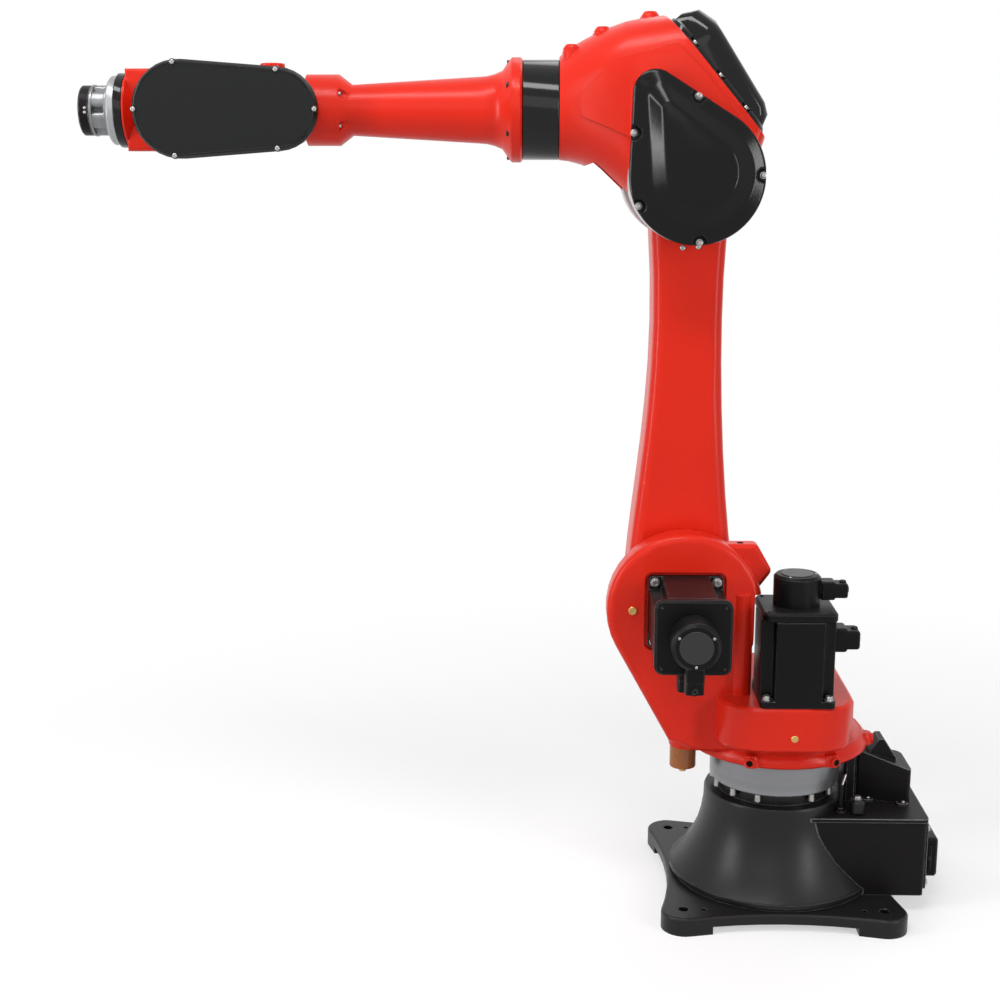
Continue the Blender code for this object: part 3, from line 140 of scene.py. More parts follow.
def circle_points(radius: float, steps: int, start_deg: float) -> Outline:
    """Points evenly round a circle.

    Args:
        radius: the circle's radius.
        steps: how many points.
        start_deg: angle of the first point.

    Returns:
        The points, anticlockwise.
    """
    angles = [math.radians(start_deg + 360.0 * index / steps) for index in range(steps)]
    return [(radius * math.cos(angle), radius * math.sin(angle)) for angle in angles]


def corners(reach: float) -> Outline:
    """The four corners of a square about its middle."""
    return [(u, v) for u in (-reach, reach) for v in (-reach, reach)]


def rounded_box(half_width: float, half_height: float, corner: float, steps: int = 5) -> Outline:
    """A rectangle about its middle with rounded corners, anticlockwise.

    Args:
        half_width: half of the size across.
        half_height: half of the size upwards.
        corner: the corners' radius.
        steps: facets in each corner.

    Returns:
        The outline's points.
    """
    points = []
    for quarter, (sx, sy) in enumerate(((1, 1), (-1, 1), (-1, -1), (1, -1))):
        for step in range(steps + 1):
            angle = math.radians(90.0 * quarter + 90.0 * step / steps)
            points.append((sx * (half_width - corner) + corner * math.cos(angle),
                           sy * (half_height - corner) + corner * math.sin(angle)))
    return points


def belt_points(a: Vector, radius_a: float, b: Vector, radius_b: float, steps: int) -> Outline:
    """The outline of a belt round two circles in the X-Z plane, anticlockwise.

    Args:
        a: middle of the first circle.
        radius_a: its radius.
        b: middle of the second circle.
        radius_b: its radius.
        steps: about how many points.

    Returns:
        The points as (X, Z).
    """
    run = math.hypot(b.x - a.x, b.z - a.z)
    heading = math.atan2(b.z - a.z, b.x - a.x)
    spread = math.acos((radius_a - radius_b) / run)
    sweep_a = 2 * math.pi - 2 * spread
    steps_a = max(6, round(steps * sweep_a / (2 * math.pi)))
    steps_b = max(6, steps - steps_a)
    points = []
    for index in range(steps_a + 1):
        angle = heading + spread + sweep_a * index / steps_a
        points.append((a.x + radius_a * math.cos(angle), a.z + radius_a * math.sin(angle)))
    for index in range(steps_b + 1):
        angle = heading - spread + 2 * spread * index / steps_b
        points.append((b.x + radius_b * math.cos(angle), b.z + radius_b * math.sin(angle)))
    return points


class Wiring:
    """Adds nodes to one node tree and joins them by socket name."""

    def __init__(self, tree: bpy.types.NodeTree) -> None:
        """Keeps the tree that the nodes go into."""
        self.tree = tree

    def add(self, kind: str, links: dict | None = None, **settings: object) -> bpy.types.Node:
        """Adds a node.

        Args:
            kind: the node's type name.
            links: input name or index to a socket to join or a value to set.
            settings: attributes of the node itself.

        Returns:
            The new node.
        """
        node = self.tree.nodes.new(kind)
        for key, value in settings.items():
            setattr(node, key, value)
        for key, value in (links or {}).items():
            if isinstance(value, bpy.types.NodeSocket):
                self.tree.links.new(value, node.inputs[key])
            else:
                node.inputs[key].default_value = value
        return node

    def math(self, operation: str, *values: object, clamp: bool = False) -> bpy.types.NodeSocket:
        """A Math node's result, from sockets or numbers."""
        node = self.add("ShaderNodeMath", dict(enumerate(values)), operation=operation, use_clamp=clamp)
        return node.outputs[0]

    def mix(self, factor: object, first: object, second: object) -> bpy.types.NodeSocket:
        """A colour between two, by factor."""
        node = self.add("ShaderNodeMix", {0: factor, 6: first, 7: second}, data_type="RGBA")
        return node.outputs[2]

    def vector(self, operation: str, *values: object, output: str = "Vector") -> bpy.types.NodeSocket:
        """A Vector Math node's result, from sockets or vectors."""
        node = self.add("ShaderNodeVectorMath", dict(enumerate(values)), operation=operation)
        return node.outputs[output]

    def scaled(self, vector: object, scale: object) -> bpy.types.NodeSocket:
        """A vector or a colour times a number."""
        node = self.add("ShaderNodeVectorMath", {0: vector, "Scale": scale}, operation="SCALE")
        return node.outputs["Vector"]

    def spot(self, kind: str = "Object") -> bpy.types.NodeSocket:
        """The object's own coordinates, or another output of Texture Coordinate."""
        return self.add("ShaderNodeTexCoord").outputs[kind]

    def noise(self, scale: object, detail: float, roughness: float = 0.5, distortion: float = 0.0,
              place: bpy.types.NodeSocket | None = None) -> bpy.types.NodeSocket:
        """A Noise Texture's value.

        Args:
            scale: how fine the noise is.
            detail: how many finer layers it has.
            roughness: how strong those layers are.
            distortion: how much it is stirred.
            place: where it is read, or none for the object's own coordinates.

        Returns:
            The value.
        """
        node = self.add("ShaderNodeTexNoise", {
            "Vector": self.spot() if place is None else place, "Scale": scale, "Detail": detail,
            "Roughness": roughness, "Distortion": distortion})
        return node.outputs[0]

    def group(self, tree: bpy.types.NodeTree, **values: object) -> bpy.types.Node:
        """Places a node group with its own values."""
        return self.add("ShaderNodeGroup", values, node_tree=tree)

    def deliver(self, gives: bpy.types.NodeInputs, **results: bpy.types.NodeSocket) -> bpy.types.NodeTree:
        """Joins a group's results to its outputs.

        Args:
            gives: the group's output sockets.
            results: the socket that goes to each.

        Returns:
            The group.
        """
        for label, socket in results.items():
            self.tree.links.new(socket, gives[label])
        return self.tree


class Effects:
    """The node groups that more than one finish uses, each made once."""

    # How strongly a bend counts against the noise, and where and how sharply the edge colour sets in, which
    # is partly wear and partly painted highlight
    BEND_GAIN = 9.0
    WEAR_AND_HIGHLIGHT_START = 1.25
    WEAR_AND_HIGHLIGHT_CONTRAST = 3.0
    # Scales of the further patterns, as ratios of the scale that a finish gives
    GRAIN_RATIO = 3.1
    SMEAR_RATIO = 6.0
    BAND_RATIO = 0.15
    # How fast dust thins out towards upright faces
    DUST_POWER = 3.0
    # Brightness of turning bands: the darkest, and the span above it
    BAND_DARKEST = 0.75
    BAND_SPAN = 0.5

    def __init__(self) -> None:
        """Builds every group."""
        self.edges = self.build_edges()
        self.skin = self.build_skin()
        self.tone = self.build_tone()
        self.dust = self.build_dust()
        self.lathe = self.build_lathe()

    @staticmethod
    def new_group(name: str, takes: dict[str, object], gives: dict[str, str]
                  ) -> tuple[Wiring, bpy.types.NodeOutputs, bpy.types.NodeInputs]:
        """Starts a shader node group.

        Args:
            name: the group's name.
            takes: input names with their default values.
            gives: output names with their socket types.

        Returns:
            The group's wiring, its input sockets and its output sockets, by name.
        """
        tree = bpy.data.node_groups.new(name, "ShaderNodeTree")
        for label, value in takes.items():
            kind = "NodeSocketVector" if isinstance(value, tuple) else "NodeSocketFloat"
            socket = tree.interface.new_socket(label, in_out="INPUT", socket_type=kind)
            socket.default_value = value
        for label, kind in gives.items():
            tree.interface.new_socket(label, in_out="OUTPUT", socket_type=kind)
        wiring = Wiring(tree)
        return wiring, wiring.add("NodeGroupInput").outputs, wiring.add("NodeGroupOutput").inputs

    def build_edges(self) -> bpy.types.NodeTree:
        """Rounded edge normals, and a noise-broken mask of edges that carries both wear and painted
        highlight.

        Returns:
            The new group.
        """
        wiring, takes, gives = self.new_group(
            "rounded_worn_and_highlit_edges", {"Radius": 0.0012, "Wear": 0.2, "Break": 90.0},
            {"Normal": "NodeSocketVector", "Mask": "NodeSocketFloat"})
        bevel = wiring.add("ShaderNodeBevel", {"Radius": takes["Radius"]}, samples=4).outputs[0]
        facing = wiring.add("ShaderNodeNewGeometry").outputs["Normal"]
        likeness = wiring.vector("DOT_PRODUCT", bevel, facing, output="Value")
        bend = wiring.math("SUBTRACT", 1.0, likeness, clamp=True)
        noise = wiring.noise(takes["Break"], detail=4.0, roughness=0.7)
        broken = wiring.math("MULTIPLY", bend, wiring.math("MULTIPLY", noise, self.BEND_GAIN))
        start = wiring.math("SUBTRACT", self.WEAR_AND_HIGHLIGHT_START, takes["Wear"])
        mask = wiring.math("MULTIPLY", wiring.math("SUBTRACT", broken, start), self.WEAR_AND_HIGHLIGHT_CONTRAST, clamp=True)
        return wiring.deliver(gives, Normal=bevel, Mask=mask)

    def build_skin(self) -> bpy.types.NodeTree:
        """The fine relief of a surface: broad waves with grains on them.

        Returns:
            The new group.
        """
        wiring, takes, gives = self.new_group(
            "surface_skin", {"Scale": 400.0, "Grain": 0.4}, {"Height": "NodeSocketFloat"})
        waves = wiring.noise(takes["Scale"], detail=2.0)
        fine = wiring.math("MULTIPLY", takes["Scale"], self.GRAIN_RATIO)
        grains = wiring.add("ShaderNodeTexVoronoi", {"Vector": wiring.spot(), "Scale": fine})
        share = wiring.math("MULTIPLY", grains.outputs["Distance"], takes["Grain"])
        return wiring.deliver(gives, Height=wiring.math("ADD", waves, share))

    def build_tone(self) -> bpy.types.NodeTree:
        """Slow variation of a colour's brightness and of its roughness.

        Returns:
            The new group.
        """
        wiring, takes, gives = self.new_group(
            "slow_tone", {"Scale": 9.0, "Amount": 0.1},
            {"Shade": "NodeSocketFloat", "Smear": "NodeSocketFloat"})
        slow = wiring.math("SUBTRACT", wiring.noise(takes["Scale"], detail=3.0, roughness=0.55), 0.5)
        shade = wiring.math("ADD", 1.0, wiring.math("MULTIPLY", slow, takes["Amount"]))
        fine = wiring.math("MULTIPLY", takes["Scale"], self.SMEAR_RATIO)
        quick = wiring.math("SUBTRACT", wiring.noise(fine, detail=5.0, roughness=0.6, distortion=0.8), 0.5)
        return wiring.deliver(gives, Shade=shade, Smear=wiring.math("MULTIPLY", quick, takes["Amount"]))

    def build_dust(self) -> bpy.types.NodeTree:
        """A thin film of dust that lies on what faces upwards.

        Returns:
            The new group.
        """
        wiring, takes, gives = self.new_group(
            "dust_film", {"Amount": 0.1, "Scale": 40.0}, {"Mask": "NodeSocketFloat"})
        rise = wiring.add("ShaderNodeSeparateXYZ", {0: wiring.spot("Normal")}).outputs["Z"]
        level = wiring.math("POWER", wiring.math("MAXIMUM", rise, 0.0), self.DUST_POWER)
        patches = wiring.math("MULTIPLY", level, wiring.noise(takes["Scale"], detail=6.0, roughness=0.65))
        return wiring.deliver(gives, Mask=wiring.math("MULTIPLY", patches, takes["Amount"], clamp=True))

    def build_lathe(self) -> bpy.types.NodeTree:
        """Turning marks: lines round an axis on its sides, and rings on its ends.

        Returns:
            The new group.
        """
        wiring, takes, gives = self.new_group(
            "turning_marks", {"Centre": (0.0, 0.0, 0.0), "Axis": (0.0, 0.0, 1.0), "Scale": 700.0},
            {"Height": "NodeSocketFloat", "Shade": "NodeSocketFloat"})
        arm = wiring.vector("SUBTRACT", wiring.spot(), takes["Centre"])
        along = wiring.vector("DOT_PRODUCT", arm, takes["Axis"], output="Value")
        out = wiring.vector("SUBTRACT", arm, wiring.scaled(takes["Axis"], along))
        reach = wiring.vector("LENGTH", out, output="Value")
        line = wiring.add("ShaderNodeCombineXYZ", {"X": along, "Y": reach}).outputs[0]
        fine = wiring.noise(takes["Scale"], detail=4.0, roughness=0.75, place=line)
        broad = wiring.noise(wiring.math("MULTIPLY", takes["Scale"], self.BAND_RATIO), detail=2.0, place=line)
        shade = wiring.math("ADD", self.BAND_DARKEST, wiring.math("MULTIPLY", broad, self.BAND_SPAN))
        return wiring.deliver(gives, Height=fine, Shade=shade)


@dataclass(frozen=True)
class Finish:
    """What a surface is made of, as a procedural material."""

    name: str
    slot: str
    colour: Colour
    roughness: float
    metallic: float = 0.0
    coat: float = 0.0
    coat_roughness: float = 0.08
    skin_scale: float = 400.0
    skin_grain: float = 0.3
    skin_depth: float = 0.0001
    tone: float = 0.12
    # Colour and strength of the edge mask: partly worn paint, partly painted highlight along edges
    edge_colour_worn_and_highlit: Colour = (0.35, 0.35, 0.36)
    edge_wear_and_highlight: float = 0.1
    dust: float = 0.06
    dust_colour: Colour = (0.42, 0.40, 0.38)
    dust_roughness: float = 0.4
    edge: float = 0.0012
    specular: float = 0.5

    def build(self, effects: Effects) -> bpy.types.Material:
        """Makes the material.

        Args:
            effects: the shared node groups.

        Returns:
            The new material.
        """
        material = bpy.data.materials.new(self.name)
        material.use_nodes = True
        material.diffuse_color = (*self.colour, 1.0)
        wiring = Wiring(material.node_tree)
        shader = material.node_tree.nodes["Principled BSDF"]
        for label, value in (("Metallic", self.metallic), ("Specular IOR Level", self.specular),
                             ("Coat Weight", self.coat), ("Coat Roughness", self.coat_roughness)):
            shader.inputs[label].default_value = value
        edges = wiring.group(effects.edges, Radius=self.edge, Wear=self.edge_wear_and_highlight)
        tone = wiring.group(effects.tone, Amount=self.tone)
        skin = wiring.group(effects.skin, Scale=self.skin_scale, Grain=self.skin_grain)
        film = wiring.group(effects.dust, Amount=self.dust).outputs["Mask"]
        shade = wiring.math("MULTIPLY", tone.outputs["Shade"], self.marks(wiring, effects))
        # Edges take a lighter colour that is partly wear and partly painted highlight
        bare = wiring.mix(edges.outputs["Mask"], wiring.scaled(self.colour, shade), (*self.edge_colour_worn_and_highlit, 1.0))
        dusty = wiring.mix(film, bare, (*self.dust_colour, 1.0))
        rough = wiring.math("ADD", tone.outputs["Smear"], self.roughness)
        rough = wiring.math("ADD", rough, wiring.math("MULTIPLY", film, self.dust_roughness), clamp=True)
        bump = wiring.add("ShaderNodeBump", {
            "Height": self.relief(wiring, effects, skin.outputs["Height"]), "Distance": self.skin_depth,
            "Strength": 1.0, "Normal": edges.outputs["Normal"]})
        for source, target in ((dusty, "Base Color"), (rough, "Roughness"), (bump.outputs[0], "Normal")):
            material.node_tree.links.new(source, shader.inputs[target])
        return material

    def marks(self, wiring: Wiring, effects: Effects) -> float | bpy.types.NodeSocket:
        """How much brighter or darker the finish's own marks make the colour."""
        return 1.0

    def relief(self, wiring: Wiring, effects: Effects, skin: bpy.types.NodeSocket) -> bpy.types.NodeSocket:
        """The height that the bump follows."""
        return skin


@dataclass(frozen=True)
class TurnedMetal(Finish):
    """Metal with turning marks round an axis."""

    skin_depth: float = 0.00003
    dust: float = 0.02
    centre: tuple[float, float, float] = (0.0, 0.0, 0.0)
    axis: tuple[float, float, float] = (0.0, 0.0, 1.0)
    marks_scale: float = 700.0

    def lathe(self, wiring: Wiring, effects: Effects) -> bpy.types.Node:
        """The turning marks' group with this metal's axis."""
        return wiring.group(effects.lathe, Centre=self.centre, Axis=self.axis, Scale=self.marks_scale)

    def marks(self, wiring: Wiring, effects: Effects) -> float | bpy.types.NodeSocket:
        """Bands of slightly different brightness round the axis."""
        return self.lathe(wiring, effects).outputs["Shade"]

    def relief(self, wiring: Wiring, effects: Effects, skin: bpy.types.NodeSocket) -> bpy.types.NodeSocket:
        """Fine grooves round the axis."""
        return self.lathe(wiring, effects).outputs["Height"]


RED = Finish(
    "red_enamel", "red_paint", (0.69, 0.0205, 0.0075), 0.31, coat=0.05, skin_scale=260.0, skin_depth=0.00009,
    edge_colour_worn_and_highlit=(0.62, 0.05, 0.03), dust=0.015, edge=0.0024, specular=0.16)
# In the next two finishes the pale edge colour and its strength are partly painted highlight along the edges
CAST_BLACK = Finish(
    "black_cast_enamel", "black_paint", (0.0065, 0.0063, 0.0067), 0.35, skin_scale=420.0, skin_grain=0.8,
    skin_depth=0.00006, tone=0.06, edge_colour_worn_and_highlit=(0.16, 0.16, 0.17), edge_wear_and_highlight=0.45, dust=0.02, edge=0.0022, specular=0.27)
SHEET_BLACK = Finish(
    "black_sheet_enamel", "black_paint", (0.0065, 0.0055, 0.0065), 0.38, skin_scale=700.0,
    skin_depth=0.00008, tone=0.14, edge_colour_worn_and_highlit=(0.34, 0.34, 0.35), edge_wear_and_highlight=0.95, dust=0.03, edge=0.0030, specular=0.11)
GLOSS = Finish(
    "gloss_black_moulding", "black_gloss", (0.003, 0.003, 0.0035), 0.10, skin_scale=180.0,
    skin_depth=0.00002, tone=0.05, edge_colour_worn_and_highlit=(0.03, 0.03, 0.03), edge_wear_and_highlight=0.03, dust=0.015, edge=0.0014, specular=0.27)
SATIN = Finish(
    "satin_black_moulding", "black_gloss", (0.010, 0.0104, 0.0104), 0.34, skin_scale=900.0, skin_grain=0.6,
    skin_depth=0.00005, tone=0.07, edge_colour_worn_and_highlit=(0.05, 0.05, 0.05), edge_wear_and_highlight=0.04, dust=0.02, specular=0.16)
COVER = Finish(
    "moulded_cover", "black_gloss", (0.0045, 0.0045, 0.0046), 0.16, skin_scale=220.0, skin_depth=0.00003,
    tone=0.08, edge_colour_worn_and_highlit=(0.04, 0.04, 0.04), edge_wear_and_highlight=0.04, dust=0.01, edge=0.0022, specular=0.17)
# The pale edge colour and its strength here are partly painted highlight along the motor's edges
CASING = Finish(
    "motor_casing", "black_plastic", (0.0035, 0.0035, 0.0038), 0.36, skin_scale=800.0, skin_grain=0.7,
    skin_depth=0.00007, tone=0.14, edge_colour_worn_and_highlit=(0.18, 0.18, 0.19), edge_wear_and_highlight=0.62, dust=0.03, edge=0.0018, specular=0.12)
# Paler grey that paints the reflection of the light from above on the encoder's end
ENCODER_END_PAINTED_SHEEN = Finish(
    "encoder_end_painted_sheen", "black_plastic", (0.030, 0.0285, 0.028), 0.32, skin_scale=600.0, skin_depth=0.00004,
    tone=0.16, edge_colour_worn_and_highlit=(0.12, 0.12, 0.12), edge_wear_and_highlight=0.2, dust=0.04, edge=0.0006, specular=0.24)
AMBER = Finish(
    "amber_urethane", "amber_rubber", (0.36, 0.105, 0.010), 0.28, coat=0.2, skin_scale=150.0,
    skin_depth=0.00006, tone=0.6, edge_colour_worn_and_highlit=(0.45, 0.20, 0.04), dust=0.04, specular=0.4)
STEEL_Z = TurnedMetal(
    "gear_steel", "bare_steel", (0.22, 0.225, 0.235), 0.30, metallic=0.7, skin_depth=0.00002, tone=0.04,
    edge_colour_worn_and_highlit=(0.5, 0.5, 0.52), edge_wear_and_highlight=0.2)
STEEL_Y = TurnedMetal(
    "disc_steel", "bare_steel", (0.42, 0.43, 0.44), 0.36, metallic=0.85, centre=tuple(SHOULDER),
    axis=tuple(Y_AXIS))
STEEL_X = TurnedMetal(
    "hand_steel", "bare_steel", (0.21, 0.215, 0.22), 0.34, metallic=0.75, centre=tuple(WRIST),
    axis=tuple(X_AXIS))
ALLOY_X = TurnedMetal(
    "collar_alloy", "pale_alloy", (0.36, 0.365, 0.37), 0.34, metallic=0.75, skin_depth=0.00002,
    centre=tuple(WRIST), axis=tuple(X_AXIS))
# Near-white colour that is partly pale metal and partly painted highlight on the elbow's gear rims
ALLOY_Y_PAINTED_HIGHLIGHT = TurnedMetal(
    "ring_alloy_painted_highlight", "pale_alloy", (0.54, 0.54, 0.55), 0.32, metallic=0.8, skin_depth=0.00002,
    centre=tuple(ELBOW), axis=tuple(Y_AXIS))
ZINC = Finish(
    "zinc_fastener", "bare_steel", (0.38, 0.37, 0.355), 0.30, metallic=0.85, skin_scale=1500.0,
    skin_depth=0.00003, tone=0.2, edge_colour_worn_and_highlit=(0.8, 0.8, 0.8), edge_wear_and_highlight=0.2, dust=0.02, edge=0.0003)
BRASS = Finish(
    "brass_fastener", "brass", (0.56, 0.36, 0.12), 0.34, metallic=0.85, skin_scale=1500.0,
    skin_depth=0.00003, tone=0.2, edge_colour_worn_and_highlit=(0.8, 0.65, 0.35), edge_wear_and_highlight=0.2, dust=0.02, edge=0.0003)
# Near black that paints the shade inside holes shown as flush discs
BORE_PAINTED_SHADE = Finish(
    "unlit_bore", "black_paint", (0.003, 0.002, 0.002), 0.8, skin_scale=900.0, skin_depth=0.00005, tone=0.2,
    edge_wear_and_highlight=0.0, dust=0.0, edge=0.0003, specular=0.1)

FINISHES = (RED, CAST_BLACK, SHEET_BLACK, GLOSS, SATIN, COVER, CASING, ENCODER_END_PAINTED_SHEEN, AMBER, STEEL_Z, STEEL_Y,
            STEEL_X, ALLOY_X, ALLOY_Y_PAINTED_HIGHLIGHT, ZINC, BRASS, BORE_PAINTED_SHADE)


def add_object(name: str, data: bpy.types.ID) -> bpy.types.Object:
    """Makes an object of its data and links it to the scene.

    Args:
        name: the object's name.
        data: its mesh, camera or lamp.

    Returns:
        The new object.
    """
    added = bpy.data.objects.new(name, data)
    bpy.context.scene.collection.objects.link(added)
    return added


class Shape:
    """One visible piece in the making: turned and extruded forms joined in one mesh."""

    # Edges sharper than this stay sharp
    CREASE_DEG = 35.0
    # Height of a bore's lip, and the radii of its mouth and its floor, as shares of its radius
    BORE_LIP_SHARE = 0.06
    BORE_MOUTH_SHARE = 0.85
    BORE_FLOOR_SHARE = 0.78

    def __init__(self, name: str) -> None:
        """Starts an empty piece."""
        self.name = name
        self.mesh = bmesh.new()

    def skin(self, rings: list[list[Vector]], closed: bool = False) -> None:
        """Skins rings of equal count.

        Args:
            rings: the rings' points.
            closed: whether the last ring joins the first, in place of a face at each end.
        """
        loops = [[self.mesh.verts.new(point) for point in ring] for ring in rings]
        count = len(loops[0])
        faces = []
        following = loops[1:] + (loops[:1] if closed else [])
        for lower, upper in zip(loops, following):
            for index in range(count):
                after = (index + 1) % count
                faces.append(self.mesh.faces.new((lower[index], lower[after], upper[after], upper[index])))
        if not closed:
            faces.append(self.mesh.faces.new(list(reversed(loops[0]))))
            faces.append(self.mesh.faces.new(loops[-1]))
        bmesh.ops.recalc_face_normals(self.mesh, faces=faces)

    def turn(self, place: Place, profile: Sequence[tuple], steps: int = 24) -> None:
        """Spins a profile round a place's outward direction.

        Args:
            place: where the axis stands.
            profile: rings of (radius, depth) or (radius, depth, rim).
            steps: facets round the axis.
        """
        rings = []
        for radius, depth, *rim in profile:
            ring = []
            for index in range(steps):
                angle = 2 * math.pi * index / steps
                reach = radius
                if rim and rim[0] is Rim.HEXAGON:
                    reach *= math.cos(math.pi / 6) / math.cos(angle % (math.pi / 3) - math.pi / 6)
                ring.append(place.point(reach * math.cos(angle), reach * math.sin(angle), depth))
            rings.append(ring)
        self.skin(rings)

    def prism(self, place: Place, outline: Outline, levels: Outline) -> None:
        """Extrudes an outline outwards.

        Args:
            place: where the outline lies.
            outline: its points.
            levels: depths, each with the scale that the outline has there.
        """
        self.skin([[place.point(u * scale, v * scale, depth) for u, v in outline] for depth, scale in levels])

    def screw(self, head: Screw, place: Place, radius: float) -> None:
        """Adds a screw's head.

        Args:
            head: which head.
            place: where it sits and faces.
            radius: the head's radius, which its height goes by too.
        """
        self.turn(place, [(share * radius, rise * radius, rim) for share, rise, rim in head.value])

    def bore(self, place: Place, radius: float) -> None:
        """Adds a drilled hole's mouth as a disc all but flush with the surface round it; its near-black
        finish is painted shade of the hole.

        Args:
            place: the hole's middle and which way it opens.
            radius: the hole's radius.
        """
        lip, mouth, floor = (
            radius * share for share in (self.BORE_LIP_SHARE, self.BORE_MOUTH_SHARE, self.BORE_FLOOR_SHARE))
        self.turn(place, [(radius, -lip), (radius, lip), (mouth, lip), (floor, 0.0)], 20)

    def finish(self, body: str, finish: Finish, workshop: "Workshop") -> bpy.types.Object:
        """Closes the piece and hangs it on its body.

        Args:
            body: the body that it rides on.
            finish: what it is made of.
            workshop: where the materials are.

        Returns:
            The new object.
        """
        data = bpy.data.meshes.new(self.name)
        self.mesh.to_mesh(data)
        self.mesh.free()
        piece = add_object(self.name, data)
        data.shade_smooth()
        data.set_sharp_from_angle(angle=math.radians(self.CREASE_DEG))
        data.materials.append(workshop.material(finish))
        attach(piece, body)
        LOG.info("built %s on %s with %d faces", self.name, body, len(data.polygons))
        return piece


class Workshop:
    """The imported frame, the materials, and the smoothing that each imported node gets."""

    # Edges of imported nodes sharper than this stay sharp, and points nearer than this are welded
    CREASE_DEG = 41.0
    WELD = 0.00001

    def __init__(self, frame: dict) -> None:
        """Makes every finish's material and the smoothing group.
        """
        self.nodes = frame["nodes"]
        effects = Effects()
        self.materials = {finish.name: finish.build(effects) for finish in FINISHES}
        self.smoothing = self.build_smoothing()

    def build_smoothing(self) -> bpy.types.NodeTree:
        """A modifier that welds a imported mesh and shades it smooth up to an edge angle.

        Returns:
            The new group.
        """
        tree = bpy.data.node_groups.new("smooth_surface", "GeometryNodeTree")
        for side in ("INPUT", "OUTPUT"):
            tree.interface.new_socket("Geometry", in_out=side, socket_type="NodeSocketGeometry")
        wiring = Wiring(tree)
        entry = wiring.add("NodeGroupInput")
        weld = wiring.add("GeometryNodeMergeByDistance", {0: entry.outputs[0], "Distance": self.WELD})
        bare = wiring.add("GeometryNodeRemoveAttribute", {0: weld.outputs[0], "Name": "custom_normal"})
        smooth = wiring.add("GeometryNodeSetShadeSmooth", {0: bare.outputs[0], "Shade Smooth": True},
                            domain="FACE")
        angle = wiring.add("GeometryNodeInputMeshEdgeAngle").outputs["Unsigned Angle"]
        sharp = wiring.math("GREATER_THAN", angle, math.radians(self.CREASE_DEG))
        crease = wiring.add("GeometryNodeSetShadeSmooth", {
            0: smooth.outputs[0], "Selection": sharp, "Shade Smooth": False}, domain="EDGE")
        wiring.add("NodeGroupOutput", {0: crease.outputs[0]})
        return tree

    def material(self, finish: Finish) -> bpy.types.Material:
        """The material made for a finish."""
        return self.materials[finish.name]

    def dress(self, finish: Finish, *names: str) -> None:
        """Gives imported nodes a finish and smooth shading.

        Args:
            finish: what they are made of.
            names: the nodes' names.
        """
        for name in names:
            node = self.nodes[name]
            node.material_slots[0].link = "OBJECT"
            node.material_slots[0].material = self.material(finish)
            surface = node.modifiers.new("smooth_surface", "NODES")
            surface.node_group = self.smoothing
            weighted = node.modifiers.new("weighted_normals", "WEIGHTED_NORMAL")
            weighted.keep_sharp = True
            LOG.info("dressed %s in %s", name, finish.name)


